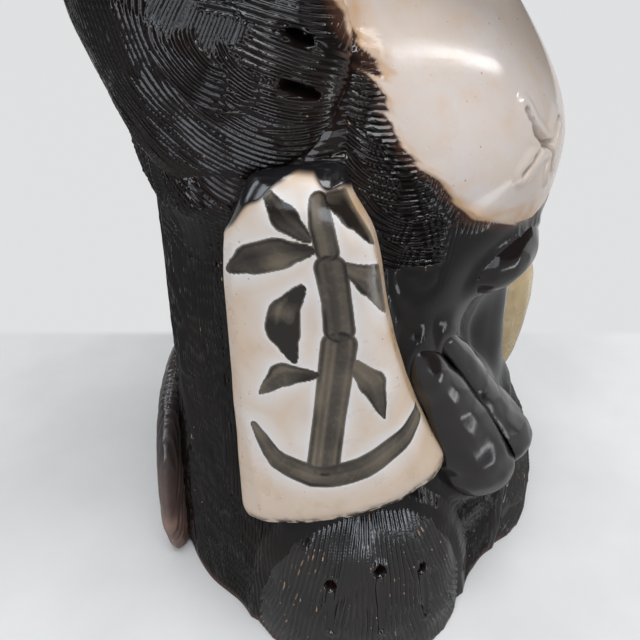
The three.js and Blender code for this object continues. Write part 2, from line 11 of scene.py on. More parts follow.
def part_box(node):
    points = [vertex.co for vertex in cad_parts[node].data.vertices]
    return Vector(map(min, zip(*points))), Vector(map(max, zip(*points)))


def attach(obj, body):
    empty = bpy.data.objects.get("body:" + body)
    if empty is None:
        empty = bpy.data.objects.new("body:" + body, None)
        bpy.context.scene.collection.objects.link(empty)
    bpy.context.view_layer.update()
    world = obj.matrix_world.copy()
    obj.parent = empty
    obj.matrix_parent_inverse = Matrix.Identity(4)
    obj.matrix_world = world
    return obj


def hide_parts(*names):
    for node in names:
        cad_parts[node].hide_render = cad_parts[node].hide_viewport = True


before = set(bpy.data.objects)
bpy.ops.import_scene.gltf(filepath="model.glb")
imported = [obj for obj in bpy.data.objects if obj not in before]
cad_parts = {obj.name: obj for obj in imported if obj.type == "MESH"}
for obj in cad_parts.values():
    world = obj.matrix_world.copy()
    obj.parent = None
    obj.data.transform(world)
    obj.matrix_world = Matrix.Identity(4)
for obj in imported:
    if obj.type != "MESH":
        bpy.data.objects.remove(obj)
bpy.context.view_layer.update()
MM = 0.001
DEGREE = math.pi / 180

# The statue's upright axis, from the round foot of the body
back_low, back_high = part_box("body_back_shell")
foot_radius = (back_high.x - back_low.x) / 2
axis = np.array(((back_low.x + back_high.x) / 2, back_high.y - foot_radius))
neck_height = back_high.z
wall = 9 * MM

# The combing of the wet clay, as a share of the spacing of the comb's teeth
comb_depth = 0.50
flat_clay = 0.42
flank_pitch = 2.2 * MM
back_pitch = 3.6 * MM
head_pitch = 3.0 * MM
unroll_radius = 95 * MM
full_turn = 2 * math.pi * unroll_radius

# The white slip on the belly; its border runs through turns in degrees and heights in millimetres
belly_border = np.array((
    (0, 203), (7, 205), (16, 209), (25, 213.5), (29.5, 219.5), (35, 229.5), (39.5, 234.5), (44, 242.5),
    (47.5, 252.5), (48.5, 257), (49.5, 261), (51.5, 264), (54, 268), (60, 283), (62, 300), (62, 340),
))
belly_border_turns = belly_border[:, 0] * DEGREE
belly_border_heights = belly_border[:, 1] * MM
belly_unroll = 86 * MM
slip_thickness = 0.6 * MM
navel_depth = 4.2 * MM
navel_lip = 0.9 * MM

# Mesh sizes
limb_voxel = 0.48 * MM
foot_voxel = 0.55 * MM
tail_voxel = 0.8 * MM
small_voxel = 0.6 * MM
book_voxel = 0.58 * MM
coarser = 1.0
head_columns = 480
head_rows = 200
hat_columns = 640
hat_rows = 118
limb_triangles = 190000
seam_gap = 0.01 * MM

# Finger slots, each from its back end to its front end, as turns in degrees and heights in millimetres
right_finger_slots = (((66.2, 275.6), (62.8, 273)), ((67, 262), (61.5, 258)))
left_finger_slots = (((82.2, 238.6), (78.8, 236)), ((83, 225), (77.5, 221)))
finger_slot_width = 3.4 * MM
finger_slot_depth = 5 * MM

# Claws of the right foot: turn of the hole, turn of the far end, height of the hole
claws = ((57.2, 56.6, 49), (45.1, 44.6, 57), (33.4, 32.5, 51))
claw_end_height = 24
claw_width = 5 * MM
claw_depth = 0.9 * MM
claw_hole_width = 5.4 * MM
claw_hole_depth = 5 * MM
plug_size = 3.8 * MM

# Rows of straw in the hat
straw_rows = 8
straw_step = 1.8 * MM
straw_thickness = 7 * MM
brim_edge = 0.55 * straw_thickness

chance = np.random.default_rng(11)


# Numbers on points

def step(low, high, value):
    """0 below low, 1 above high, and a soft rise between."""
    share = np.clip((value - low) / (high - low), 0, 1)
    return share * share * (3 - 2 * share)


def hump(value, middle, reach):
    """1 at the middle, falling softly to 0 at reach from it."""
    share = np.clip(1 - np.abs(value - middle) / reach, 0, 1)
    return share * share * (3 - 2 * share)


def unwrap(points):
    """Turn about the axis from the front to the statue's right hand, distance from it, and height."""
    across = points[:, 0] - axis[0]
    deep = points[:, 1] - axis[1]
    return np.arctan2(-across, -deep), np.hypot(across, deep), points[:, 2]


def unrolled(points):
    """Length round the unrolled statue, growing towards its left hand, and height."""
    turn, _, height = unwrap(points)
    return (-turn * unroll_radius).astype(np.float32), height.astype(np.float32)


def outward(turn):
    """Level direction away from the axis."""
    return np.stack([-np.sin(turn), -np.cos(turn), np.zeros_like(turn)], -1)


def hashed(number):
    """A fixed scatter between 0 and 1 for each whole number."""
    return np.modf(np.abs(np.sin(number * 12.9898 + 4.1414)) * 43758.5453)[0]


def wander(value, pitch):
    """A smooth wavering line between 0 and 1 with a new height at each pitch."""
    place = value / pitch
    first = np.floor(place)
    share = place - first
    share = share * share * (3 - 2 * share)
    return hashed(first) * (1 - share) + hashed(first + 1) * share


def clouds(first, second, pitch, seed):
    """Smooth random patches over two lengths, between 0 and 1."""
    u = first / pitch
    v = second / pitch
    fu = np.floor(u)
    fv = np.floor(v)
    su = (u - fu) ** 2 * (3 - 2 * (u - fu))
    sv = (v - fv) ** 2 * (3 - 2 * (v - fv))

    def corner(i, j):
        return hashed((fu + i) * 1.37 + (fv + j) * 57.31 + seed * 7.77)

    low = corner(0, 0) * (1 - su) + corner(1, 0) * su
    high = corner(0, 1) * (1 - su) + corner(1, 1) * su
    return low * (1 - sv) + high * sv


def from_line(across, up, start, end):
    """Share of the way along a line, held at its ends, and the offsets from there."""
    run = end - start
    share = ((across - start[0]) * run[0] + (up - start[1]) * run[1]) / (run @ run)
    share = np.clip(share, 0, 1)
    return share, across - start[0] - share * run[0], up - start[1] - share * run[1]


def centre_of(node):
    """Middle of a solid's box."""
    low, high = (np.array(corner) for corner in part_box(node))
    return (low + high) / 2


# Comb strokes: each is a band of parallel grooves, straight or along an arc, that wipes out what was there

def comb(along, up, strokes):
    """Ridges from 0 in a groove to 1 on a crest, and the relief in metres, over the unrolled surface."""
    ridge = np.full(along.shape, flat_clay, np.float32)
    relief = np.zeros(along.shape, np.float32)
    for place, lift, angle, length, teeth, curve, pitch in strokes:
        right = (along - place + full_turn / 2) % full_turn - full_turn / 2
        rise = up - lift
        half = teeth * pitch / 2
        reach = length / 2 + half + 4 * MM
        near = (np.abs(right) < reach) & (np.abs(rise) < reach)
        if not near.any():
            continue
        right = right[near]
        rise = rise[near]
        ahead = right * math.cos(angle) + rise * math.sin(angle)
        side = rise * math.cos(angle) - right * math.sin(angle)
        if curve:
            radius = 1 / abs(curve)
            sign = math.copysign(1, curve)
            to_centre = radius - sign * side
            side = sign * (radius - np.hypot(ahead, to_centre))
            ahead = radius * np.arctan2(ahead, to_centre)
        side = side + (wander(ahead + place * 3, 9 * MM) - 0.5) * 0.45 * pitch
        tooth = np.round(side / pitch)
        ragged = (hashed(tooth + place * 9000) - 0.5) * 6 * MM
        inside = step(half + 0.2 * MM, half - 0.4 * MM, np.abs(side))
        inside = inside * step(length / 2 + 0.5 * MM, length / 2 - 6 * MM, np.abs(ahead + ragged))
        crest = (0.5 + 0.5 * np.cos(2 * math.pi * side / pitch)) ** 1.5
        bite = 0.75 + 0.25 * hashed(tooth + place * 700)
        broken = 0.8 + 0.2 * wander(ahead + tooth * 0.31, 8 * MM)
        crest = crest * bite * broken
        ridge[near] = ridge[near] * (1 - inside) + crest * inside
        relief[near] = relief[near] * (1 - inside) + (crest - flat_clay) * pitch * comb_depth * inside
    return ridge, relief


def strokes_over(low, high, gap, heading, lengths, teeth, curve=0.0, pitch=flank_pitch):
    """Strokes scattered over a rectangle of unrolled surface; heading gives each one's direction."""
    strokes = []
    columns = max(1, int((high[0] - low[0]) / gap[0]))
    rows = max(1, int((high[1] - low[1]) / gap[1]))
    for row in range(rows + 1):
        for column in range(columns + 1):
            shift = 0.5 * (row % 2)
            place = low[0] + (column + shift + chance.uniform(-0.35, 0.35)) * gap[0]
            lift = low[1] + (row + chance.uniform(-0.35, 0.35)) * gap[1]
            angle = heading(place, lift) + chance.normal(0, 0.06)
            length = chance.uniform(*lengths)
            count = int(chance.integers(teeth[0], teeth[1] + 1))
            strokes.append((place, lift, angle, length, count, curve, pitch))
    chance.shuffle(strokes)
    return strokes


def arc_band(turn, height, radius, first, last, teeth, pitch):
    """A stroke round a point of the right side, from one angle to another, with 270 straight below it."""
    middle = (first + last) / 2 * DEGREE
    place = -turn * DEGREE * unroll_radius + radius * MM * math.cos(middle)
    lift = height * MM + radius * MM * math.sin(middle)
    length = radius * MM * (last - first) * DEGREE
    return (place, lift, middle + math.pi / 2, length, teeth, 1 / (radius * MM), pitch * MM)


def line_band(turn, height, heading, length, teeth, pitch, radius=None):
    """A stroke through a point of the right side; a radius bends it upwards."""
    place = -turn * DEGREE * unroll_radius
    curve = 1 / (radius * MM) if radius else 0.0
    return (place, height * MM, heading * DEGREE, length * MM, teeth, curve, pitch * MM)


def mirrored(strokes):
    """The same strokes on the statue's left side."""
    return [(-place, lift, math.pi - angle, length, teeth, -curve, pitch)
            for place, lift, angle, length, teeth, curve, pitch in strokes]


def forearm_bands(turn, drop):
    """Strokes round the right elbow and out along the hand, shifted by a turn and lowered by a drop."""
    def line(at, height, *rest):
        return line_band(at + turn, height - drop, *rest)

    def arc(at, height, *rest):
        return arc_band(at + turn, height - drop, *rest)

    elbow_arcs = ((78, 246), (66, 262), (54, 272), (42, 280), (31, 288))
    return [
        *(line(112 - 6 * i, 250, -84 + 5 * i, 84, 9, 1.55, 190 - 22 * i) for i in range(5)),
        *(arc(63, 285, radius, 202, last, 6, 2.05) for radius, last in elbow_arcs),
        line(70, 300, -4, 64, 8, 2.1),
        line(69, 286, -11, 38, 8, 2.1),
        arc(75.5, 277, 17, 178, 275, 7, 2.2),
        line(66, 281, -13, 34, 6, 2.0),
        line(66, 268, -20, 32, 6, 2.0),
        line(65, 255, -12, 28, 5, 2.0, 70),
        line(64, 245, 2, 26, 4, 2.0, 60),
    ]


def belly_fringe():
    """Short hanging arcs down the right side of the belly."""
    bands = []
    for i in range(8):
        height = 262 - 12.5 * i
        turn = 50 - 2.6 * i if i < 6 else 36
        wobble = chance.uniform(-1.2, 1.2)
        bands.append(arc_band(turn + wobble, height + 30 + wobble, 32, 208, 292, 7, 2.0))
    return bands


def base_arcs():
    """A few hanging arcs on the base between the feet."""
    return [line_band(20, 66, -10, 28, 5, 2.0, 42), line_band(7, 45, -2, 30, 5, 2.0, 46),
            line_band(-9, 48, 8, 26, 5, 2.0, 46), line_band(14, 28, -6, 24, 4, 2.0, 60)]


def coat():
    """All the comb strokes of the body and the arms, in the order of the work."""
    def down(place, lift):
        place = (place + full_turn / 2) % full_turn - full_turn / 2
        forward = -math.copysign(1, place) * float(step(170 * MM, 250 * MM, lift))
        hind = float(step(105, 130, abs(place) / unroll_radius / DEGREE))
        slant = -math.pi / 2 - forward * 0.42 * (1 - hind)
        return slant + 0.12 * math.sin(place * 31) + 0.07 * math.sin(lift * 43)

    behind = 130 * DEGREE * unroll_radius
    ahead = 18 * DEGREE * unroll_radius
    back_zone = (-ahead, 0), (full_turn - behind, neck_height)
    flank_zone = (-behind, 0), (-ahead, neck_height)
    strokes = strokes_over(*back_zone, (18 * MM, 30 * MM), down, (50 * MM, 90 * MM), (5, 7), 0.0, back_pitch)
    strokes += strokes_over(*flank_zone, (12 * MM, 46 * MM), down, (80 * MM, 130 * MM), (6, 9))
    strokes += mirrored(belly_fringe()) + belly_fringe()
    strokes += mirrored(forearm_bands(14, 22)) + forearm_bands(0, 0)
    return strokes + base_arcs()


# Meshes

def triples(rows, key):
    """Three numbers for each row of a mesh."""
    flat = np.zeros(len(rows) * 3)
    rows.foreach_get(key, flat)
    return flat.reshape(-1, 3)


def points_of(piece):
    return triples(piece.data.vertices, "co")


def normals_of(piece):
    return triples(piece.data.vertex_normals, "vector")


def put_points(piece, points):
    piece.data.vertices.foreach_set("co", np.asarray(points).ravel())
    piece.data.update()


def mark(piece, **numbers):
    """Keeps numbers per point for the finish to read."""
    for name, values in numbers.items():
        layer = piece.data.attributes.new(name, "FLOAT", "POINT")
        values = np.broadcast_to(np.asarray(values, np.float32), len(piece.data.vertices))
        layer.data.foreach_set("value", np.ascontiguousarray(values))


def only_nothing():
    """Leaves edit mode with nothing selected."""
    if bpy.context.mode != "OBJECT":
        bpy.ops.object.mode_set(mode="OBJECT")
    bpy.ops.object.select_all(action="DESELECT")


def only(*pieces):
    """Selects these pieces alone."""
    only_nothing()
    for piece in pieces:
        piece.select_set(True)
    bpy.context.view_layer.objects.active = pieces[0]


def apply(piece, kind, **settings):
    """Adds a modifier with these settings and applies it."""
    only(piece)
    modifier = piece.modifiers.new(kind.lower(), kind)
    for name, value in settings.items():
        setattr(modifier, name, value)
    bpy.ops.object.modifier_apply(modifier=modifier.name)


def tree_of(piece):
    return BVHTree.FromObject(piece, bpy.context.evaluated_depsgraph_get())


def distance(points, trees, limit):
    """Distance from each point to the nearest of these surfaces, no more than limit."""
    found = np.full(len(points), limit)
    for index, point in enumerate(points):
        for tree in trees:
            gap = tree.find_nearest(point, found[index])[3]
            if gap is not None and gap < found[index]:
                found[index] = gap
    return found


def copy_of(name, node):
    """A merged copy of a CAD solid as a new piece."""
    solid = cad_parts[node]
    piece = solid.copy()
    piece.data = solid.data.copy()
    piece.parent = None
    for key in list(piece.keys()):
        del piece[key]
    bpy.context.scene.collection.objects.link(piece)
    only(piece)
    piece.name = name
    piece.data.name = name
    piece.data.materials.clear()
    bpy.ops.object.mode_set(mode="EDIT")
    bpy.ops.mesh.select_all(action="SELECT")
    bpy.ops.mesh.remove_doubles(threshold=2 * seam_gap)
    bpy.ops.object.mode_set(mode="OBJECT")
    return piece


def soft_clay(name, node, voxel, rounds, held=(), hold=6 * MM, floor=False, plugs=()):
    """A CAD solid rounded as by wet hands; it keeps its edges where it meets what holds it."""
    piece = copy_of(name, node)
    balls = []
    for spot in plugs:
        bpy.ops.mesh.primitive_ico_sphere_add(subdivisions=2, radius=plug_size, location=spot)
        balls.append(bpy.context.object)
    if balls:
        only(piece, *balls)
        bpy.ops.object.join()
    apply(piece, "REMESH", mode="VOXEL", voxel_size=voxel, use_smooth_shade=True)
    free = freedom(piece, held, hold, floor)
    weigh(piece, "free", free)
    steps = max(2, int(rounds * (1 * MM / voxel) ** 2))
    apply(piece, "SMOOTH", factor=0.5, iterations=steps, vertex_group="free")
    piece.vertex_groups.clear()
    away = outward(unwrap(points_of(piece))[0])
    hidden = (free < 0.004) & ((normals_of(piece) * away).sum(1) < 0.2)
    if held and hidden.any():
        weigh(piece, "hidden", hidden)
        left = 1 - 0.9 * hidden.mean()
        apply(piece, "DECIMATE", ratio=left, vertex_group="hidden", vertex_group_factor=10)
        piece.vertex_groups.clear()
        free = freedom(piece, held, hold, floor)
    return piece, free


def freedom(piece, held, hold, floor):
    """0 where a piece lies on what holds it or on the floor, rising to 1 away from them."""
    points = points_of(piece)
    free = np.ones(len(points))
    if held:
        free = step(0.5 * MM, hold, distance(points, held, hold * 1.2))
    if floor:
        free = np.minimum(free, step(0.5 * MM, 5 * MM, points[:, 2]))
    return free


def weigh(piece, name, weights):
    """Puts weights between 0 and 1 in a vertex group, in ten levels."""
    group = piece.vertex_groups.new(name=name)
    level = np.round(np.asarray(weights) * 10).astype(int)
    for share in range(1, 11):
        group.add(np.where(level == share)[0].tolist(), share / 10, "REPLACE")


def sheet_of(name, columns, rows):
    """A flat grid; the caller lays it on a form by each point's share across and up."""
    only_nothing()
    bpy.ops.mesh.primitive_grid_add(x_subdivisions=columns, y_subdivisions=rows, size=2)
    piece = bpy.context.object
    piece.name = name
    piece.data.name = name
    flat = points_of(piece)
    column = np.round((flat[:, 0] + 1) / 2 * columns).astype(int)
    row = np.round((flat[:, 1] + 1) / 2 * rows).astype(int)
    return piece, column, row


def close_up(piece, caps=False):
    """Merges the seams of a laid grid, closes its ends and turns its faces outwards."""
    only(piece)
    bpy.ops.object.mode_set(mode="EDIT")
    bpy.ops.mesh.select_all(action="SELECT")
    bpy.ops.mesh.remove_doubles(threshold=seam_gap)
    if caps:
        bpy.ops.mesh.select_all(action="SELECT")
        bpy.ops.mesh.fill_holes(sides=0)
    bpy.ops.mesh.select_all(action="SELECT")
    bpy.ops.mesh.normals_make_consistent(inside=False)
    bpy.ops.object.mode_set(mode="OBJECT")
    bpy.ops.object.shade_smooth_by_angle(angle=50 * DEGREE)


def softened(places, wanted, width, turn_round=False):
    """Weights that read a row of samples at the wanted places, smoothed over a width."""
    gap = wanted[:, None] - places[None, :]
    if turn_round:
        gap = (gap + math.pi) % (2 * math.pi) - math.pi
    weight = np.exp(-0.5 * (gap / width) ** 2)
    return weight / weight.sum(1, keepdims=True)


def seat(piece, nodes, finish):
    """Gives a finished piece its finish, hides the solids it stands for and hangs it on the body it rides
    on.
    """
    piece.data.materials.clear()
    piece.data.materials.append(finish)
    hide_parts(*nodes)
    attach(piece, "root")


# Finishes: colours that several share, and how strongly a full, a wet and a thin glaze refract
bare_clay = (0.42, 0.25, 0.13)
red_clay = (0.085, 0.036, 0.022)
rust = (0.020, 0.010, 0.008)
peach = (0.58, 0.42, 0.29)
full_gloss = 1.52
wet_gloss = 1.62
thin_gloss = 1.38
pit_depth = 0.25 * MM


def finish_of(name):
    """A new finish with its tree of nodes and its shader."""
    finish = bpy.data.materials.new(name)
    finish.use_nodes = True
    return finish, finish.node_tree, finish.node_tree.nodes["Principled BSDF"]


def link(tree, source, target):
    """Joins a source to a socket, or sets the socket where the source is a plain value."""
    if isinstance(source, bpy.types.NodeSocket):
        tree.links.new(source, target)
    else:
        target.default_value = source


def place_of(tree):
    """Place on the piece, in metres."""
    return tree.nodes.new("ShaderNodeTexCoord").outputs["Object"]


def grain(tree, scale, detail=4.0, rough=0.55):
    """Random patches of clay or glaze; scale is their number in a metre."""
    node = tree.nodes.new("ShaderNodeTexNoise")
    node.inputs["Scale"].default_value = scale
    node.inputs["Detail"].default_value = detail
    node.inputs["Roughness"].default_value = rough
    tree.links.new(place_of(tree), node.inputs["Vector"])
    return node.outputs["Fac"]


def mottle(tree, scale, detail, low, high, first=0, last=1, rough=0.55):
    """Random patches stretched from low and high to first and last."""
    return graded(tree, grain(tree, scale, detail, rough), low, high, first, last)


def pinholes(tree, scale, size):
    """Small round pits: 1 in a pit and 0 elsewhere, only in some of the cells."""
    cells = tree.nodes.new("ShaderNodeTexVoronoi")
    cells.inputs["Scale"].default_value = scale
    tree.links.new(place_of(tree), cells.inputs["Vector"])
    near = graded(tree, cells.outputs["Distance"], size, size * 0.4)
    apart = tree.nodes.new("ShaderNodeSeparateColor")
    tree.links.new(cells.outputs["Color"], apart.inputs["Color"])
    chosen = graded(tree, apart.outputs["Red"], 0.72, 0.74)
    return times(tree, near, chosen)


def graded(tree, source, low, high, first=0, last=1):
    """The source stretched from low and high to first and last, and held there."""
    node = tree.nodes.new("ShaderNodeMapRange")
    node.inputs["From Min"].default_value = low
    node.inputs["From Max"].default_value = high
    node.inputs["To Min"].default_value = first
    node.inputs["To Max"].default_value = last
    link(tree, source, node.inputs["Value"])
    return node.outputs["Result"]


def sums(tree, kind, first, second):
    """One step of arithmetic between two numbers."""
    node = tree.nodes.new("ShaderNodeMath")
    node.operation = kind
    link(tree, first, node.inputs[0])
    link(tree, second, node.inputs[1])
    return node.outputs["Value"]


def times(tree, first, second):
    """Product of two numbers."""
    return sums(tree, "MULTIPLY", first, second)


def blend(tree, share, first, second):
    """A colour between two others."""
    node = tree.nodes.new("ShaderNodeMix")
    node.data_type = "RGBA"
    link(tree, share, node.inputs["Factor"])
    link(tree, first if isinstance(first, bpy.types.NodeSocket) else (*first, 1), node.inputs["A"])
    link(tree, second if isinstance(second, bpy.types.NodeSocket) else (*second, 1), node.inputs["B"])
    return node.outputs["Result"]


def kept(tree, name):
    """A number kept per point on the piece."""
    node = tree.nodes.new("ShaderNodeAttribute")
    node.attribute_name = name
    return node.outputs["Fac"]


def relief(tree, shader, pits, scale, detail, share, strength):
    """Fine grain with pits in it; share is the height of the grain beside the depth of a pit."""
    bumps = times(tree, grain(tree, scale, detail), share)
    node = tree.nodes.new("ShaderNodeBump")
    node.inputs["Strength"].default_value = strength
    node.inputs["Distance"].default_value = pit_depth
    link(tree, sums(tree, "SUBTRACT", bumps, pits), node.inputs["Height"])
    tree.links.new(node.outputs["Normal"], shader.inputs["Normal"])


def fur_finish(name, pool, crest, sheen, fleck_share, worn_clay=red_clay, gloss=full_gloss):
    """Black iron glaze: pooled dark in the grooves, brown on the crests, bare clay where it wore thin."""
    finish, tree, shader = finish_of(name)
    ridge = kept(tree, "ridge")
    tone = grain(tree, 45)
    on_crest = graded(tree, ridge, 0.1, 0.9)
    crested = times(tree, on_crest, graded(tree, tone, 0.35, 0.65, 0.4, 1))
    colour = blend(tree, crested, pool, crest)
    colour = blend(tree, mottle(tree, 16, 3, 0.5, 0.72, 0, 0.6), colour, rust)
    worn = times(tree, kept(tree, "thin"), graded(tree, tone, 0.3, 0.6, 0.5, 1))
    colour = blend(tree, worn, colour, worn_clay)
    patchy = sums(tree, "ADD", grain(tree, 230, 3), times(tree, tone, 0.5))
    flecks = graded(tree, patchy, 1.0 - fleck_share, 1.02 - fleck_share)
    flecks = times(tree, flecks, graded(tree, ridge, 0.5, 0.75))
    bare = sums(tree, "MAXIMUM", flecks, kept(tree, "bare"))
    tree.links.new(blend(tree, bare, colour, bare_clay), shader.inputs["Base Color"])
    rough = mottle(tree, 70, 3, 0.3, 0.7, *sheen)
    rough = sums(tree, "ADD", rough, times(tree, bare, 0.35))
    tree.links.new(rough, shader.inputs["Roughness"])
    relief(tree, shader, pinholes(tree, 320, 0.16), 900, 2, 0.30, 0.35)
    shader.inputs["IOR"].default_value = gloss
    return finish


def slip_colour(tree, first, second, warm, burnt, pits, pit_colour, cover=None):
    """Pale slip of two clouded tones, with some peach, pits and burnt edges; cover lies under the pits."""
    colour = blend(tree, mottle(tree, 26, 5, 0.32, 0.68, rough=0.6), first, second)
    colour = blend(tree, times(tree, mottle(tree, 120, 4, 0.5, 0.75), warm), colour, peach)
    if cover:
        colour = blend(tree, kept(tree, cover[0]), colour, cover[1])
    colour = blend(tree, pits, colour, pit_colour)
    return blend(tree, kept(tree, "burnt"), colour, burnt)


def trunk_finish():
    """Combed black glaze with the white slip of the belly and a burnt rim where they meet."""
    finish = fur_finish("trunk_glaze", (0.0032, 0.0028, 0.0028), (0.017, 0.0118, 0.0102), (0.07, 0.16), 0.03)
    tree = finish.node_tree
    shader = tree.nodes["Principled BSDF"]
    dark = shader.inputs["Base Color"].links[0].from_socket
    dark_rough = shader.inputs["Roughness"].links[0].from_socket
    pits = times(tree, pinholes(tree, 260, 0.13), 0.75)
    tones = (0.60, 0.54, 0.515), (0.56, 0.465, 0.395)
    pale = slip_colour(tree, *tones, 0.5, (0.50, 0.30, 0.15), pits, (0.20, 0.12, 0.07))
    slip = kept(tree, "slip")
    tree.links.new(blend(tree, slip, dark, pale), shader.inputs["Base Color"])
    rough = tree.nodes.new("ShaderNodeMix")
    link(tree, slip, rough.inputs["Factor"])
    link(tree, dark_rough, rough.inputs["A"])
    link(tree, mottle(tree, 60, 3, 0.3, 0.7, 0.10, 0.16), rough.inputs["B"])
    tree.links.new(rough.outputs["Result"], shader.inputs["Roughness"])
    shader.inputs["IOR"].default_value = thin_gloss
    return finish


def book_finish():
    """Cream slip with iron brushwork, a dark glazed head, painted shade on its underside and burnt edges."""
    finish, tree, shader = finish_of("book_slip")
    pits = pinholes(tree, 300, 0.14)
    tones = (0.66, 0.545, 0.455), (0.62, 0.465, 0.335)
    dark_pits = times(tree, pits, 0.8)
    bloom = "bloom", (0.70, 0.65, 0.62)
    pale = slip_colour(tree, *tones, 0.8, (0.52, 0.33, 0.17), dark_pits, (0.18, 0.11, 0.06), bloom)
    scorch = times(tree, kept(tree, "scorch"), mottle(tree, 240, 3, 0.44, 0.54))
    pale = blend(tree, scorch, pale, (0.030, 0.022, 0.015))
    pale = blend(tree, kept(tree, "halo"), pale, (0.74, 0.76, 0.80))
    ink = kept(tree, "ink")
    wash = blend(tree, graded(tree, ink, 0.25, 0.62), (0.150, 0.120, 0.082), (0.050, 0.040, 0.029))
    wash = blend(tree, mottle(tree, 420, 3, 0.5, 0.75, 0, 0.45, 0.6), wash, (0.16, 0.12, 0.075))
    colour = blend(tree, graded(tree, ink, 0.03, 0.16, 0, 0.97), pale, wash)
    colour = blend(tree, graded(tree, ink, 0.6, 0.95, 0, 0.95), colour, (0.014, 0.010, 0.008))
    # The glaze mark holds the dark glazed head and also the painted shade on the book's underside
    glaze = kept(tree, "glaze")
    tree.links.new(blend(tree, glaze, colour, (0.0090, 0.0085, 0.0095)), shader.inputs["Base Color"])
    wet = sums(tree, "MAXIMUM", glaze, graded(tree, ink, 0.1, 0.6))
    rough = mottle(tree, 80, 3, 0.3, 0.7, 0.24, 0.40)
    rough = times(tree, rough, graded(tree, wet, 0, 1, 1, 0.5))
    tree.links.new(rough, shader.inputs["Roughness"])
    relief(tree, shader, pits, 700, 3, 0.5, 0.3)
    shader.inputs["IOR"].default_value = 1.5
    return finish


def plain_glaze(name, first, second, sheen, edge=None, gloss=full_gloss):
    """A smooth poured glaze of two clouded tones."""
    finish, tree, shader = finish_of(name)
    colour = blend(tree, mottle(tree, 55, 5, 0.35, 0.65), first, second)
    if edge:
        colour = blend(tree, kept(tree, "edge"), colour, edge)
    pits = pinholes(tree, 300, 0.13)
    colour = blend(tree, times(tree, pits, 0.6), colour, (0.03, 0.02, 0.015))
    tree.links.new(colour, shader.inputs["Base Color"])
    tree.links.new(mottle(tree, 90, 3, 0.3, 0.7, *sheen), shader.inputs["Roughness"])
    relief(tree, shader, pits, 600, 2, 0.4, 0.25)
    shader.inputs["IOR"].default_value = gloss
    return finish


# The trunk: two halves laid on the smoothed radius of the body's shells

shell_trees = [tree_of(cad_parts[node]) for node in ("body_front_shell", "body_back_shell")]
sample_turns = (np.arange(720) + 0.5) / 720 * 2 * math.pi - math.pi
sample_heights = np.linspace(0.5 * MM, neck_height - 0.5 * MM, 160)


def outer_reach(trees, centre, away, reach):
    """Distance from a centre to the outermost of these surfaces in one direction; 0 where there is none."""
    start = Vector(centre) + away * reach
    found = 0
    for tree in trees:
        hit = tree.ray_cast(start, -away, reach)
        if hit[0] is not None:
            found = max(found, reach - hit[3])
    return found


def body_samples():
    """The body's radius all round and all the way up, read from its solids."""
    radius = np.zeros((len(sample_turns), len(sample_heights)))
    for column, turn in enumerate(sample_turns):
        away = Vector(outward(np.array(turn)))
        for row, height in enumerate(sample_heights):
            radius[column, row] = outer_reach(shell_trees, (axis[0], axis[1], height), away, 2 * foot_radius)
    return radius


radius_samples = body_samples()


def body_radius(turns, heights):
    """Smooth radius of the body on a grid of turns and heights."""
    around = softened(sample_turns, turns, 4.2 * DEGREE, True)
    upward = softened(sample_heights, heights, 5.5 * MM)
    return around @ radius_samples @ upward.T


def belly_edge(turn, height):
    """Distance inside the edge of the white belly, in metres; less than 0 outside it."""
    at = np.interp(height, belly_border_heights, belly_border_turns)
    above = np.interp(height + 1 * MM, belly_border_heights, belly_border_turns)
    slope = (above - at) * belly_unroll / MM
    inside = (at - np.abs(turn)) * belly_unroll / np.sqrt(1 + slope ** 2)
    inside = np.minimum(inside, height - belly_border_heights[0])
    border = height - 0.5 * np.abs(turn) * belly_unroll
    combed = hump(height, 262 * MM, 16 * MM)
    hairs = wander(border, 1.7 * MM) - 0.5
    return inside + hairs * (1.2 + 4.5 * combed) * MM + (wander(border, 15 * MM) - 0.5) * 3 * MM


def scorched(band, edge, around, height):
    """Burnt rim of the white slip, over a band inside its edge."""
    return step(band, 0.3 * MM, edge) * (0.25 + 0.75 * clouds(around, height, 5 * MM, 9))


def navel_cuts(turn, height):
    """Depth share of the star of cuts pressed into the belly, and of the lips raised beside them."""
    deep = np.zeros(turn.shape)
    lips = np.zeros(turn.shape)
    # Both ends of a cut, across and up, and its width, in millimetres
    cuts = (
        ((-10, 245), (-8, 238), 1.6), ((-8, 238), (-2, 232), 2.4), ((-2, 232), (3, 231), 2.4),
        ((3, 231), (14, 237), 1.9), ((-5, 232), (-10, 229), 1.5), ((-10, 229), (-17, 225), 1.2),
        ((3, 230), (4, 220), 1.4),
    )
    for first, last, width in cuts:
        _, right, rise = from_line(-turn * belly_unroll, height, np.array(first) * MM, np.array(last) * MM)
        gap = np.hypot(right, rise)
        deep = np.maximum(deep, step(width * MM, 0.15 * width * MM, gap))
        lips = np.maximum(lips, hump(gap, (width + 1.5) * MM, 3.5 * MM))
    return deep, lips * (1 - deep)


body_coat = coat()


def unwound(turn):
    """Turn brought between minus half a turn and half a turn."""
    return (turn + math.pi) % (2 * math.pi) - math.pi


def spaced(start, stop, zones, coarse):
    """Places from start to stop; each zone has its own spacing between two places."""
    places = [start]
    while places[-1] < stop - 1e-9:
        here = places[-1]
        gap = coarse
        for low, high, fine in zones:
            if low <= here < high:
                gap = fine
        places.append(min(here + gap * coarser, stop))
    if places[-1] - places[-2] < coarse / 4:
        places.pop(-2)
    return np.array(places)


def smeared_clay(spots, behind):
    """Height of the clay smeared into the corners where pieces are luted on; behind is 1 on the flanks."""
    filled = np.zeros(behind.shape)
    flat = spots.reshape(-1, 3)
    for trees, width, fill, flank_width, flank_fill in luted:
        gap = distance(flat, trees, max(width, flank_width)).reshape(behind.shape)
        reach = width + (flank_width - width) * behind
        most = fill + (flank_fill - fill) * behind
        filled = np.maximum(filled, most * np.clip(1 - gap / reach, 0, 1) ** 2)
    return filled


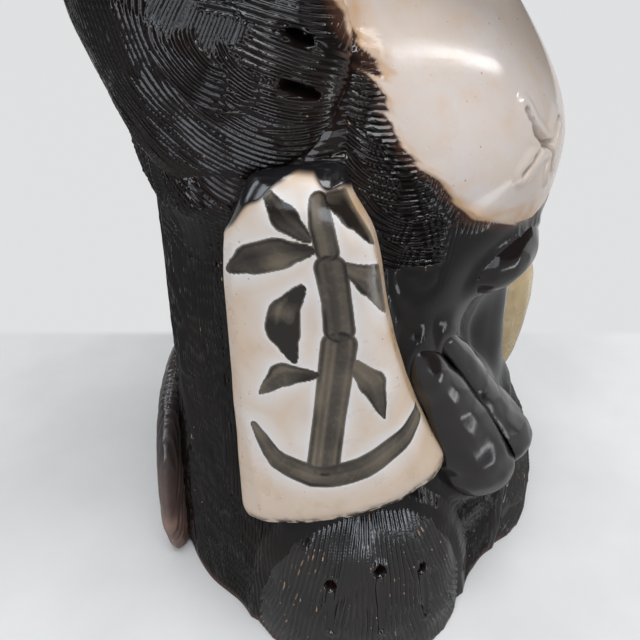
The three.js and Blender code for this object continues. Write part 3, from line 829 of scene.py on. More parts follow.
def trunk_half(name, node, first_turn, last_turn, fine_turns, fine_heights, finish):
    """Half of the body's wall, combed outside and plain inside."""
    turns = spaced(first_turn, last_turn, fine_turns, 1.5 * MM / unroll_radius)
    heights = spaced(0, neck_height, fine_heights, 1.8 * MM)
    inner_heights = np.linspace(neck_height, 0, 14)
    radius = body_radius(turns, heights)
    turn = np.repeat(turns[:, None], len(heights), 1)
    height = np.repeat(heights[None, :], len(turns), 0)
    spot = outward(turn) * radius[..., None] + np.array((axis[0], axis[1], 0))
    spot[..., 2] = height
    behind = step(70 * DEGREE, 88 * DEGREE, np.abs(unwound(turn)))
    filled = smeared_clay(spot, behind)
    edge = belly_edge(turn, height)
    slip = step(-0.5 * MM, 0.5 * MM, edge)
    around = turn * unroll_radius
    unrolled_places = -around.ravel().astype(np.float32), height.ravel().astype(np.float32)
    ridge, grooves = (values.reshape(radius.shape) for values in comb(*unrolled_places, body_coat))
    lap_turn = (31 + 22 * step(190 * MM, 160 * MM, height)) * DEGREE
    lap = step(lap_turn + 0.06, lap_turn - 0.06, np.abs(turn))
    smooth_lap = lap * step(214 * MM, 206 * MM, height) * step(58 * MM, 76 * MM, height)
    creased = 0.9 * step(1.6 * MM, 3.0 * MM, filled) * (1 - behind)
    plain = np.maximum.reduce([slip, smooth_lap, creased, step(5 * MM, 1 * MM, height)])
    ridge = ridge * (1 - plain) + flat_clay * plain
    radius = radius + filled + grooves * (1 - plain)
    radius = radius + slip_thickness * step(-0.8 * MM, 1.6 * MM, edge)
    lumps = clouds(around, height, 17 * MM, 3) - 0.5
    radius = radius + lumps * (0.5 + 1.1 * plain) * MM * (1 - slip)
    navel, lips = navel_cuts(turn, height)
    radius = radius - navel_depth * navel + navel_lip * lips
    inner = np.maximum(body_radius(turns, inner_heights) - wall, 14 * MM)

    rows = len(heights) + len(inner_heights)
    piece, column, row = sheet_of(name, len(turns) - 1, rows)
    wrapped_row = row % rows
    outer = wrapped_row < len(heights)
    out_row = np.where(outer, wrapped_row, 0)
    in_row = np.where(outer, 0, wrapped_row - len(heights))
    reach = np.where(outer, radius[column, out_row], inner[column, in_row])
    points = outward(turns[column]) * reach[:, None] + np.array((axis[0], axis[1], 0))
    points[:, 2] = np.where(outer, heights[out_row], inner_heights[in_row])
    put_points(piece, points)
    rim = step(7 * MM, 1 * MM, height) * (0.4 + 0.6 * clouds(around, height, 6 * MM, 5))
    band = (3 + 9 * step(255 * MM, 272 * MM, height) + 14 * step(226 * MM, 208 * MM, height)) * MM
    burnt = scorched(band, edge, around, height)
    thin = np.maximum(rim, step(-4 * MM, -0.5 * MM, edge) * 0.7)
    mark(
        piece,
        ridge=np.where(outer, ridge[column, out_row], 0.5),
        slip=np.where(outer, slip[column, out_row], 0),
        burnt=np.where(outer, burnt[column, out_row], 0),
        thin=np.where(outer, thin[column, out_row], 1),
        bare=np.where(outer, 0.0, 0.75),
    )
    close_up(piece, caps=True)
    seat(piece, [node], finish)


# Limbs

def slot_carve(points, normals, start, end, width, depth, drop):
    """Presses a slot into the clay between two places given by turn and height; drop narrows its far end."""
    turn, _, height = unwrap(points)
    first, last = (np.array((-at[0] * DEGREE * unroll_radius, at[1] * MM)) for at in (start, end))
    share, right, rise = from_line(-turn * unroll_radius, height, first, last)
    gap = np.hypot(right, rise)
    half = width / 2 * (1 - drop * share) * (0.6 + 0.4 * np.sin(math.pi * share))
    away = outward(turn)
    facing = np.clip((normals * away).sum(1), 0, 1) > 0.15
    press = step(half + 0.5 * MM, half * 0.35, gap) * facing
    lip = np.exp(-0.5 * ((gap - half - 1.0 * MM) / (0.8 * MM)) ** 2) * facing
    return points - away * (press * depth - lip * 0.35 * MM)[:, None], press


def rub(piece, zone, rounds, voxel):
    """Rubs the clay smooth where the zone is 1."""
    weigh(piece, "zone", zone)
    apply(piece, "SMOOTH", factor=0.5, iterations=int(rounds * (1 * MM / voxel) ** 2), vertex_group="zone")
    piece.vertex_groups.clear()


def heal(piece, side, slots, reach, rounds, voxel):
    """Rubs out the slots of the solid, so that they can be pressed in anew."""
    turn, _, height = unwrap(points_of(piece))
    zone = np.zeros(len(turn))
    for start, end in slots:
        middle = side * (start[0] + end[0]) / 2 * DEGREE
        lift = (start[1] + end[1]) / 2 * MM
        gap = np.hypot((turn - middle) * unroll_radius, height - lift)
        zone = np.maximum(zone, step(reach, reach - 4 * MM, gap))
    rub(piece, zone, rounds, voxel)


def thin_out(piece, limit):
    """Takes out the triangles that a form needs least, down to a limit."""
    piece.data.calc_loop_triangles()
    found = len(piece.data.loop_triangles)
    if found > limit:
        apply(piece, "DECIMATE", ratio=limit / found)


def arm_piece(name, node, side, slots, finish):
    """A combed forearm with slots between the fingers."""
    arm, free = soft_clay(name, node, limb_voxel, 36, shell_trees, 7 * MM)
    heal(arm, side, slots, 17 * MM, 60, limb_voxel)
    points = points_of(arm)
    normals = normals_of(arm)
    along, height = unrolled(points)
    ridge, grooves = comb(along, height, body_coat)
    turned = np.abs(along) / unroll_radius / DEGREE
    front = step(90, 76, turned)
    smooth = np.maximum((1 - step(0.25, 0.85, free)) * (0.15 + 0.85 * front), 1 - step(0.01, 0.10, free))
    tip_turn = slots[0][1][0]
    plain = np.maximum(smooth, 0.75 * step(tip_turn + 0.5, tip_turn - 4, turned))
    ridge = ridge * (1 - plain) + flat_clay * plain
    points = points + normals * (grooves * (1 - plain))[:, None]
    for slot in slots:
        start, end = ((side * turn, lift) for turn, lift in slot)
        points, press = slot_carve(points, normals, start, end, finger_slot_width, finger_slot_depth, 0.25)
        ridge = ridge * (1 - press)
    put_points(arm, points)
    edge = belly_edge(-along / unroll_radius, height) if side > 0 else np.full(len(points), -1.0)
    slip = step(-0.5 * MM, 0.5 * MM, edge)
    mark(
        arm,
        ridge=ridge * (1 - slip) + flat_clay * slip,
        slip=slip,
        burnt=scorched(12 * MM, edge, along, height),
        thin=0.7 * step(-4 * MM, -0.5 * MM, edge),
        bare=0,
    )
    thin_out(arm, limb_triangles)
    seat(arm, [node], finish)
    return arm


fur_glaze = fur_finish("fur_glaze", (0.0032, 0.0030, 0.0034), (0.014, 0.011, 0.010), (0.07, 0.15), 0.03)
trunk_glaze = trunk_finish()
right_arm = arm_piece("right_forearm", "right_arm", 1, right_finger_slots, trunk_glaze)
left_arm = arm_piece("left_forearm", "left_arm", -1, left_finger_slots, trunk_glaze)


def claw_plugs(node, side):
    """Places of balls of clay that fill the slits of a foot, flush with its face."""
    trees = [tree_of(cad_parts[node])]
    plugs = []
    for _, end, _ in claws:
        turns = [side * (end + beside) * DEGREE for beside in (-4.5, 0, 4.5)]
        before, away, after = (Vector(outward(np.array(turn))) for turn in turns)
        for height in np.arange(25, 61, 3) * MM:
            middle = Vector((axis[0], axis[1], height))
            faces = [outer_reach(trees, middle, beside, 2 * foot_radius) for beside in (before, after)]
            plugs.append(middle + away * (sum(faces) / 2 - plug_size))
    return plugs


def foot_piece(name, node, side, finish):
    """A broad foot with claw slots that start in a round hole, combed downwards."""
    foot, free = soft_clay(name, node, foot_voxel, 34, shell_trees, 6 * MM, True, claw_plugs(node, side))
    heal(foot, side, [((top, hole), (end, 30)) for top, end, hole in claws], 26 * MM, 30, foot_voxel)
    points = points_of(foot)
    normals = normals_of(foot)
    along, height = unrolled(points)
    lumps = clouds(along, height, 14 * MM, 13) - 0.3
    points = points + normals * (1.2 * MM * lumps * free)[:, None]
    middle = -side * 49 * DEGREE * unroll_radius

    def down(place, lift):
        return -math.pi / 2 + 9 * (place - middle)

    def claw_slot(claw, depth):
        top, end, hole = claw
        ends = (side * top, hole), (side * end, claw_end_height)
        return slot_carve(points, normals, *ends, claw_width, depth, 0.3)

    corners = (along.min(), 4 * MM), (along.max(), 84 * MM)
    strokes = strokes_over(*corners, (9 * MM, 17 * MM), down, (20 * MM, 44 * MM), (4, 6), 0.0, 2.1 * MM)
    ridge, grooves = comb(along, height, strokes)
    rubbed = 0.45 * step(0.55, 0.8, clouds(along, height, 12 * MM, 17))
    plain = np.maximum.reduce([1 - step(0.2, 0.8, free), step(4 * MM, 1 * MM, height), rubbed])
    for claw in claws:
        plain = np.maximum(plain, claw_slot(claw, 0)[1])
    ridge = ridge * (1 - plain) + flat_clay * plain
    points = points + normals * (grooves * (1 - plain))[:, None]
    thin = step(6 * MM, 1 * MM, height) * clouds(along, height, 6 * MM, 21)
    for claw in claws:
        points, press = claw_slot(claw, claw_depth)
        top, _, hole = claw
        ends = (side * top, hole + 1.2), (side * top, hole - 2.4)
        points, pit = slot_carve(points, normals, *ends, claw_hole_width, claw_hole_depth, 0.1)
        ridge = (ridge * (1 - press) + flat_clay * press) * (1 - pit)
        thin = np.maximum(thin, 0.6 * pit * clouds(along, height, 3 * MM, 31))
    points[:, 2] = np.maximum(points[:, 2], 0)
    put_points(foot, points)
    mark(foot, ridge=ridge, thin=thin, bare=0)
    seat(foot, [node], finish)
    return foot


foot_tones = (0.0050, 0.0046, 0.0052), (0.026, 0.021, 0.020)
foot_glaze = fur_finish("foot_glaze", *foot_tones, (0.08, 0.16), 0.09, gloss=wet_gloss)
right_foot = foot_piece("right_paw_foot", "right_foot", 1, foot_glaze)
left_foot = foot_piece("left_paw_foot", "left_foot", -1, foot_glaze)


def smooth_piece(name, node, voxel, rounds, held=(), floor=False, grow=0.4 * MM, lumpy=0.0):
    """A small luted-on piece, smooth under its glaze."""
    piece, free = soft_clay(name, node, voxel, rounds, held, 5 * MM, floor)
    points = points_of(piece)
    along, height = unrolled(points)
    lumps = lumpy * (clouds(along, height, 13 * MM, 15) - 0.5)
    points = points + normals_of(piece) * ((grow + lumps) * free)[:, None]
    if floor:
        points[:, 2] = np.maximum(points[:, 2], 0)
    put_points(piece, points)
    return piece


def luted_ball(name, node, rounds, lumpy, finish):
    """A lumpy ball of clay on the trunk."""
    ball = smooth_piece(name, node, small_voxel, rounds, shell_trees, lumpy=lumpy)
    seat(ball, [node], finish)
    return ball


bag_tones = (0.0085, 0.0072, 0.0078), (0.0150, 0.0100, 0.0095)
bag_glaze = plain_glaze("bag_glaze", *bag_tones, (0.12, 0.20), gloss=wet_gloss)
knob_glaze = plain_glaze("knob_glaze", (0.0085, 0.0062, 0.0062), (0.016, 0.0095, 0.0090), (0.09, 0.17))
bags = [luted_ball("bag_lobe_" + side, "money_bag_" + side, 20, 2.0 * MM, bag_glaze)
        for side in ("right", "left")]
knob = luted_ball("belly_nub", "belly_knob", 16, 1.0 * MM, knob_glaze)


def tail_piece(finish):
    """The fat tail against the back, with a few broad strokes and a worn red foot."""
    tail = smooth_piece("fat_tail", "tail", tail_voxel, 30, shell_trees, True)
    points = points_of(tail)
    along, height = unrolled(points)

    def down(place, lift):
        return -math.pi / 2 + 0.25 * math.sin(lift * 40)

    corners = (along.min(), 0), (along.max(), height.max())
    strokes = strokes_over(*corners, (14 * MM, 24 * MM), down, (26 * MM, 48 * MM), (4, 6), 1.0, 2.6 * MM)
    ridge, grooves = comb(along, height, strokes)
    points = points + normals_of(tail) * (grooves * 0.5)[:, None]
    points[:, 2] = np.maximum(points[:, 2], 0)
    put_points(tail, points)
    thin = step(75 * MM, 20 * MM, height) * (0.45 + 0.55 * clouds(along, height, 9 * MM, 41))
    mark(tail, ridge=ridge, thin=thin, bare=0)
    seat(tail, ["tail"], finish)
    return tail


tail_tones = (0.044, 0.035, 0.035), (0.090, 0.068, 0.060)
tail = tail_piece(fur_finish("tail_glaze", *tail_tones, (0.16, 0.28), 0.03, (0.30, 0.19, 0.155)))


# The account book

def stroke_cover(across, up, path, widths):
    """Share of the way in from a brush stroke's edge, distance outside it, and place across it."""
    nearest = np.full(across.shape, 1.0)
    inside = np.zeros(across.shape)
    beside = np.zeros(across.shape)
    for start, end, thick, thin in zip(path, path[1:], widths, widths[1:]):
        share, right, rise = from_line(across, up, start, end)
        half = (thick + (thin - thick) * share) / 2
        gap = np.hypot(right, rise) - half
        run = (end - start) / math.hypot(*(end - start))
        beside = np.where(gap < nearest, rise * run[0] - right * run[1], beside)
        inside = np.maximum(inside, np.clip(-gap / half, 0, 1))
        nearest = np.minimum(nearest, gap)
    return inside, nearest, beside


def brush_path(points, widths, pieces=14):
    """A smooth run through a few points, with its widths."""
    points = np.array(points, float) * MM
    widths = np.array(widths, float) * MM
    wanted = np.linspace(0, len(points) - 1, pieces)
    knots = np.arange(len(points))
    smooth = softened(knots, wanted, 0.42) @ points
    smooth[0] = points[0]
    smooth[-1] = points[-1]
    return smooth, np.interp(wanted, knots, widths)


def brushwork(across, height):
    """Ink, halo and bloom of a bamboo spray over a curved ground line."""
    # Points across and up, widths, and how much ink the brush held
    strokes = (
        ([(5, 121), (7, 144), (10, 177)], [13, 12, 13], 0.35),
        ([(10, 183), (9, 195), (7, 207)], [11, 10, 11], 0.45),
        ([(6, 213), (4, 222), (3, 229)], [8, 8, 6], 0.5),
        ([(1, 213), (-9, 211), (-19, 207), (-29, 200)], [3, 12, 11, 1], 0.8),
        ([(0, 217), (-7, 223), (-14, 231)], [3, 10, 1], 0.7),
        ([(-2, 199), (-8, 189), (-9, 181), (-5, 169)], [3, 11, 13, 2], 1.0),
        ([(6, 230), (15, 226), (22, 213)], [3, 12, 2], 1.0),
        ([(11, 208), (20, 202), (26, 187)], [3, 11, 1], 0.6),
        ([(13, 171), (22, 160), (27, 142)], [3, 11, 1], 0.5),
        ([(2, 164), (-9, 163), (-18, 152)], [3, 11, 1], 0.55),
        ([(-21, 136), (-13, 121), (2, 114), (19, 118), (34, 128), (45, 137)], [3, 10, 12, 12, 11, 8], 0.4),
    )
    ink = np.zeros(len(across))
    halo = np.zeros(len(across))
    bloom = np.zeros(len(across))
    for number, (spots, widths, load) in enumerate(strokes):
        path, thick = brush_path(spots, widths)
        inside, gap, beside = stroke_cover(across, height, path, thick)
        hairs = wander(beside + number * 0.1, 1.3 * MM) * 0.6 + wander(beside + number * 0.3, 3 * MM) * 0.4
        pooled = clouds(across, height, 9 * MM, 61 + number)
        wet_edge = hump(inside, 0.22, 0.2) * step(0.3, 0.7, clouds(across, height, 14 * MM, 91))
        held = 0.12 + 0.45 * hairs + load * (0.05 + 0.95 * pooled) + 0.3 * wet_edge
        ink = np.maximum(ink, step(0.0, 0.14, inside) * held)
        halo = np.maximum(halo, np.exp(-0.5 * (gap / (0.9 * MM)) ** 2))
        bloom = np.maximum(bloom, step(11 * MM, 1 * MM, gap))
    return np.clip(ink, 0, 1), halo, bloom


def book_piece(finish):
    """A hanging book with soft edges, a brushed face, a dark glazed head and painted shade on its downward
    faces.
    """
    low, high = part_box("account_book")
    book, free = soft_clay("hanging_book", "account_book", book_voxel, 30, shell_trees, 4 * MM)
    points = points_of(book)
    crown = step(high.z - 30 * MM, high.z - 16 * MM, points[:, 2])
    off_the_trunk = step(0.4 * MM, 1.5 * MM, distance(points, shell_trees, 2 * MM))
    rub(book, crown * off_the_trunk, 90, book_voxel)
    normals = normals_of(book)
    points = points_of(book) + normals * (0.3 * MM * free)[:, None]
    turn, _, height = unwrap(points)
    across = -(turn - 62 * DEGREE) * 98 * MM
    facing = (normals * outward(turn)).sum(1)
    front = step(0.25, 0.6, facing)
    ink, halo, bloom = brushwork(across, height)
    corner = np.clip((-across - 4 * MM) / (30 * MM), 0, 1.2)
    bound = high.z - 5 * MM - 26 * MM * corner ** 1.6
    bound = bound + (wander(across, 5 * MM) - 0.5) * 2.5 * MM + (wander(across, 13 * MM) - 0.5) * 4 * MM
    # Faces turned down and away get part of the dark glaze colour: painted shade under the book
    underside_shade = step(0.55, 0.25, facing) * step(-0.1, -0.6, normals[:, 2])
    glaze = np.maximum(step(-0.8 * MM, 0.8 * MM, height - bound), 0.6 * underside_shade)
    rim = np.maximum(step(0.75, 0.35, facing) * 0.9, step(4 * MM, 0, bound - height) * 0.6)
    foot = low.z + (across + 37 * MM) * 0.27
    mark(
        book,
        ink=ink * front * (1 - glaze),
        halo=halo * front * (1 - glaze) * 0.5,
        bloom=bloom * (0.3 + 0.7 * clouds(across, height, 11 * MM, 101)),
        glaze=glaze,
        burnt=rim * (0.45 + 0.55 * clouds(across, height, 7 * MM, 71)),
        scorch=step(foot + 9 * MM, foot + 3 * MM, height),
    )
    lumps = clouds(across, height, 14 * MM, 81) - 0.5
    points = points + normals * (lumps * 0.6 * MM + 0.35 * MM * glaze * free)[:, None]
    put_points(book, points)
    seat(book, ["account_book"], finish)
    return book


book = book_piece(book_finish())


# The flask

def flask_piece():
    """A poured ochre flask with a dark collar."""
    collar = (0.10, 0.055, 0.025)
    finish = plain_glaze("flask_glaze", (0.47, 0.34, 0.17), (0.58, 0.46, 0.27), (0.20, 0.34), collar)
    flask = soft_clay("sake_bottle", "sake_flask", book_voxel, 14, shell_trees, 4 * MM)[0]
    turn, _, height = unwrap(points_of(flask))
    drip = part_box("sake_flask")[1].z - 26 * MM - 16 * MM * wander(turn * unroll_radius, 5 * MM)
    mark(flask, edge=step(-1.5 * MM, 1.5 * MM, height - drip))
    seat(flask, ["sake_flask"], finish)
    return flask


flask = flask_piece()

# The trunk goes round what was luted to it: the pieces, then in millimetres the width and the height of the
# clay smeared into the corner, at the front and on the flanks
smears = (
    ((right_arm, left_arm), 11, 3.6, 26, 9),
    ((right_foot, left_foot), 15, 5, 15, 5),
    ((knob,), 6, 1.8, 6, 1.8),
    (bags, 12, 4.5, 12, 4.5),
    ((book, tail, flask), 6, 1.8, 6, 1.8),
)
luted = [([tree_of(piece) for piece in pieces], *(size * MM for size in sizes)) for pieces, *sizes in smears]
quarter = math.pi / 2
fine_gap = 0.45 * MM / unroll_radius


def turn_zones(*zones):
    """Zones between turns in degrees, with their spacing as a multiple of the fine gap."""
    return [(low * DEGREE, high * DEGREE, gap * fine_gap) for low, high, gap in zones]


def height_zones(*zones):
    """Zones between heights, with their spacing, in millimetres."""
    return [(low * MM, high * MM, gap * MM) for low, high, gap in zones]


front_turns = turn_zones((-90, -14, 4.4), (-14, 20, 1.9), (20, 56, 1), (56, 70, 5), (70, 90, 1.25))
front_heights = height_zones((0, 28, 1.7), (28, 76, 1.3), (76, 195, 2.4), (195, 262, 0.48), (262, 285, 0.8))
back_turns = turn_zones((90, 127, 1.25))
back_heights = height_zones((185, 265, 0.75))
trunk_half("trunk_front", "body_front_shell", -quarter, quarter, front_turns, front_heights, trunk_glaze)
trunk_half("trunk_back", "body_back_shell", quarter, 3 * quarter, back_turns, back_heights, trunk_glaze)


# The head

def head_radius(middle, neck):
    """Turns and tilts of the head's skin, and its smooth radius about the middle."""
    trees = [tree_of(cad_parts[node]) for node in ("head_front_shell", "head_back_shell")]
    turns = (np.arange(240) + 0.5) / 240 * 2 * math.pi - math.pi
    tilts = np.linspace(-89.5, 89.5, 120) * DEGREE
    sampled = np.zeros((len(turns), len(tilts)))
    for column, turn in enumerate(turns):
        for row, tilt in enumerate(tilts):
            away = Vector(outward(np.array(turn)) * math.cos(tilt) + np.array((0, 0, math.sin(tilt))))
            found = outer_reach(trees, middle, away, 200 * MM)
            floor = (middle[2] - neck) / max(-math.sin(tilt), 1e-6)
            sampled[column, row] = found if found > 0 else min(floor, 70 * MM)
    columns = np.linspace(-math.pi, math.pi, head_columns + 1)
    rows = np.linspace(-90, 90, head_rows + 1) * DEGREE
    around = softened(turns, columns, 3.6 * DEGREE, True)
    return columns, rows, around @ sampled @ softened(tilts, rows, 3.2 * DEGREE).T


def face_marks(points):
    """Where the face looks forward, its dark eye patches, its pale parts and its carved mouth."""
    beside = np.abs(points[:, 0] - axis[0])
    deep = points[:, 1]
    height = points[:, 2]
    nose_z = centre_of("nose")[2]
    eye_x, _, eye_z = centre_of("right_eye")
    eye_x = abs(eye_x - axis[0])
    facing = step(-10 * MM, -35 * MM, deep)
    patch = np.hypot((beside - eye_x - 2 * MM) * 0.95, (height - eye_z) * 1.1)
    patch = step(21 * MM, 17 * MM, patch) * facing
    muzzle = step(-46 * MM, -56 * MM, deep) * step(nose_z + 12 * MM, nose_z + 4 * MM, height - 0.2 * beside)
    cheek = np.hypot((beside - 40 * MM) / (26 * MM), (height - nose_z - 2 * MM) / (22 * MM))
    brow = np.hypot((beside - eye_x) * 0.6, (height - eye_z - 25 * MM) * 1.5)
    marks = [muzzle, step(1.05, 0.9, cheek) * facing, step(12 * MM, 9 * MM, brow) * facing]
    pale = np.clip(np.maximum.reduce(marks) - patch, 0, 1)
    smile = nose_z - 17 * MM + 10 * MM * np.clip(beside / (34 * MM), 0, 1.2) ** 2
    mouth = step(1.6 * MM, 0.4 * MM, np.abs(height - smile)) * step(36 * MM, 32 * MM, beside)
    mouth = mouth * step(-40 * MM, -50 * MM, deep)
    lip = step(1.3 * MM, 0.4 * MM, beside) * step(nose_z - 4 * MM, nose_z - 7 * MM, height)
    lip = lip * step(nose_z - 19 * MM, nose_z - 16 * MM, height) * facing
    return facing, patch, pale, np.maximum(mouth, lip)


def head_piece():
    """The head as one skin, with a pale muzzle, dark eye patches and a carved mouth."""
    low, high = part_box("head_front_shell")
    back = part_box("head_back_shell")[1].y
    middle = np.array((axis[0], (low.y + back) / 2 + 14 * MM, (low.z + high.z) / 2))
    columns, rows, radius = head_radius(middle, low.z)
    head, column, row = sheet_of("head_skin", head_columns, head_rows)
    turn = columns[column]
    tilt = rows[row]
    away = outward(turn) * np.cos(tilt)[:, None]
    away[:, 2] = np.sin(tilt)
    points = away * radius[column, row][:, None] + middle
    points[:, 2] = np.maximum(points[:, 2], low.z)
    height = points[:, 2]
    facing, patch, pale, carved = face_marks(points)

    def sweep(place, lift):
        return -math.pi / 2 + 0.7 * math.sin(place / unroll_radius)

    corners = (-full_turn / 2, low.z), (full_turn / 2, high.z)
    strokes = strokes_over(*corners, (20 * MM, 15 * MM), sweep, (24 * MM, 40 * MM), (4, 6), 1.5, head_pitch)
    ridge, grooves = comb((turn * unroll_radius).astype(np.float32), height.astype(np.float32), strokes)
    plain = np.maximum.reduce([pale, carved, patch * 0.6, step(60, 75, np.abs(tilt) / DEGREE)])
    ridge = ridge * (1 - plain) + flat_clay * plain
    points = points + away * (grooves * (1 - plain) * 0.7 + 0.5 * MM * pale - 2.4 * MM * carved)[:, None]
    points[:, 2] = np.maximum(points[:, 2], low.z)
    put_points(head, points)
    mark(
        head,
        ridge=ridge * (1 - carved),
        slip=pale * (1 - 0.97 * carved),
        burnt=4 * pale * (1 - pale),
        thin=0.3 * (1 - patch) * facing * (1 - pale),
        bare=0,
    )
    close_up(head)
    seat(head, ["head_front_shell", "head_back_shell"], trunk_glaze)
    return head


head_trees = [tree_of(head_piece())]


def ear_piece(side, finish):
    """A round ear with a worn hollow."""
    node = side + "_ear"
    ear = smooth_piece("ear_" + side, node, small_voxel, 10, head_trees)
    points = points_of(ear)
    normals = normals_of(ear)
    middle = centre_of(node)
    hollow = step(11 * MM, 8 * MM, np.hypot(points[:, 0] - middle[0], points[:, 2] - middle[2]))
    hollow = hollow * (normals[:, 1] < -0.2)
    put_points(ear, points - normals * (hollow * 1.2 * MM)[:, None])
    mark(ear, ridge=flat_clay, thin=hollow, bare=0)
    seat(ear, [node], finish)


def eye_piece(side, finish):
    """An eye pellet with a dark pupil, turned a little towards the nose."""
    node = side + "_eye"
    eye = smooth_piece("eye_" + side, node, small_voxel, 6)
    points = points_of(eye)
    middle = centre_of(node)
    look_x = middle[0] + (1.0 if side == "right" else -1.0) * MM
    look_z = middle[2] + 0.5 * MM
    mark(eye, edge=step(6.0 * MM, 5.2 * MM, np.hypot(points[:, 0] - look_x, points[:, 2] - look_z)))
    seat(eye, [node], finish)


def nose_piece(finish):
    """A nose with two pressed nostrils."""
    nose = smooth_piece("nose_button", "nose", small_voxel, 8, grow=0)
    points = points_of(nose)
    normals = normals_of(nose)
    beside = np.abs(points[:, 0] - centre_of("nose")[0]) - 5 * MM
    above = points[:, 2] - (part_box("nose")[0].z + 7 * MM)
    nostrils = step(2.6 * MM, 1.2 * MM, np.hypot(beside, above)) * (normals[:, 1] < 0)
    put_points(nose, points - normals * (nostrils * 2 * MM)[:, None])
    seat(nose, ["nose"], finish)


for side in ("right", "left"):
    ear_piece(side, fur_glaze)
pupil = (0.008, 0.008, 0.009)
eye_glaze = plain_glaze("eye_glaze", (0.80, 0.77, 0.73), (0.74, 0.69, 0.63), (0.10, 0.16), pupil)
for side in ("right", "left"):
    eye_piece(side, eye_glaze)
nose_piece(bag_glaze)


# The hat

def straw_profile(brim, apex, brim_radius):
    """Radius, level and length along the hat's section, out and back, and how many places are on top."""
    height = apex - brim
    out = np.linspace(0, brim_radius, hat_rows * 3 // 4)
    place = (1 - out / brim_radius) * straw_rows
    row_share = np.clip(place - np.floor(place), 0, 1)
    lap = straw_step * (0.5 - row_share)
    lap = np.where(place < 1, np.minimum(lap, 0), lap)
    lap = np.where(place > straw_rows - 1, np.maximum(lap, 0), lap)
    top = brim + brim_edge + (height - brim_edge) * place / straw_rows + lap
    back = np.linspace(brim_radius, 0, hat_rows + 1 - len(out))
    under = brim + (height - straw_thickness) * (1 - back / brim_radius)
    radius = np.concatenate([out, back])
    level = np.concatenate([top, under])
    places = np.concatenate([[0], np.cumsum(np.hypot(np.diff(radius), np.diff(level)))])
    kernel = softened(places, places, 0.9 * MM)
    ends = (radius[0], radius[-1])
    radius = kernel @ radius
    level = kernel @ level
    radius[0], radius[-1] = ends
    return radius, level, places, len(out)


def hat_piece():
    """A plaited straw hat in clay: spokes crossed by rings, under an ochre glaze."""
    finish = fur_finish("hat_glaze", (0.10, 0.055, 0.022), (0.36, 0.24, 0.11), (0.26, 0.42), 0.10)
    solid = points_of(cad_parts["hat"])
    tilt = 25 * DEGREE
    hat_up = np.array((0, math.sin(tilt), math.cos(tilt)))
    hat_back = np.array((0, math.cos(tilt), -math.sin(tilt)))
    lift = solid @ hat_up
    right = np.array((1.0, 0, 0))
    centre_x = (solid[:, 0].max() + solid[:, 0].min()) / 2
    deep = solid @ hat_back
    centre_deep = (deep.max() + deep.min()) / 2
    brim_radius = (solid[:, 0].max() - solid[:, 0].min()) / 2
    centre = right * centre_x + hat_back * centre_deep
    radius, level, places, top_rows = straw_profile(lift.min(), lift.max(), brim_radius)
    hat, column, row = sheet_of("straw_hat", hat_columns, hat_rows)
    turn = column / hat_columns * 2 * math.pi
    on_top = row < top_rows
    straw_row = np.floor((1 - radius[row] / brim_radius) * straw_rows)
    share = (1 - radius[row] / brim_radius) * straw_rows - straw_row
    count = np.round(2 * math.pi * brim_radius * (1 - (straw_row + 0.5) / straw_rows) / (7 * MM))
    bow = np.abs(2 * share - 1)
    strand = np.abs(np.sin(count * turn / 2 + 1.3 * bow)) ** 0.6
    weave = strand * np.sqrt(np.clip(1 - bow ** 5, 0, 1)) * step(4 * MM, 9 * MM, radius[row])
    raised = (np.where(on_top, weave, 0.35 * weave) - 1.2) * 0.9 * MM
    reach = radius[row] - np.gradient(level, places)[row] * raised
    rise = level[row] + np.gradient(radius, places)[row] * raised
    points = centre + hat_up * rise[:, None] + right * (np.cos(turn) * reach)[:, None]
    put_points(hat, points + hat_back * (np.sin(turn) * reach)[:, None])
    mark(hat, ridge=0.25 + 0.75 * weave, thin=np.where(on_top, 0.0, 0.5), bare=0)
    close_up(hat)
    seat(hat, ["hat"], finish)


hat_piece()


# Camera, floor and light; the photo's focal length and width are in pixels

photo_focal = 700
photo_width = 640
sensor_width = 36
photo_turn = 52 * DEGREE
photo_tilt = 32 * DEGREE
photo_distance = 302 * MM
photo_shift = 14 * MM
photo_height = 312 * MM
wall_distance = 177 * MM
wall_glow = 0.75
room_light = 0.50
mirrored_room_light = 0.06
backdrop_light = 0.28
# Share of painted shade on the floor where the glaze mirrors it
mirrored_floor_shade = 0.52
ahead = Vector((math.sin(photo_turn), math.cos(photo_turn), 0))
rightward = Vector((math.cos(photo_turn), -math.sin(photo_turn), 0))
stand = Vector((axis[0], axis[1], photo_height)) - ahead * photo_distance - rightward * photo_shift
camera = bpy.data.objects.new("camera", bpy.data.cameras.new("camera"))
camera.data.sensor_width = sensor_width
camera.data.lens = sensor_width * photo_focal / photo_width
camera.data.clip_start = 0.01
camera.location = stand
look = ahead * math.cos(photo_tilt) + Vector((0, 0, -math.sin(photo_tilt)))
camera.rotation_euler = look.to_track_quat("-Z", "Y").to_euler()
bpy.context.scene.collection.objects.link(camera)
bpy.context.scene.camera = camera


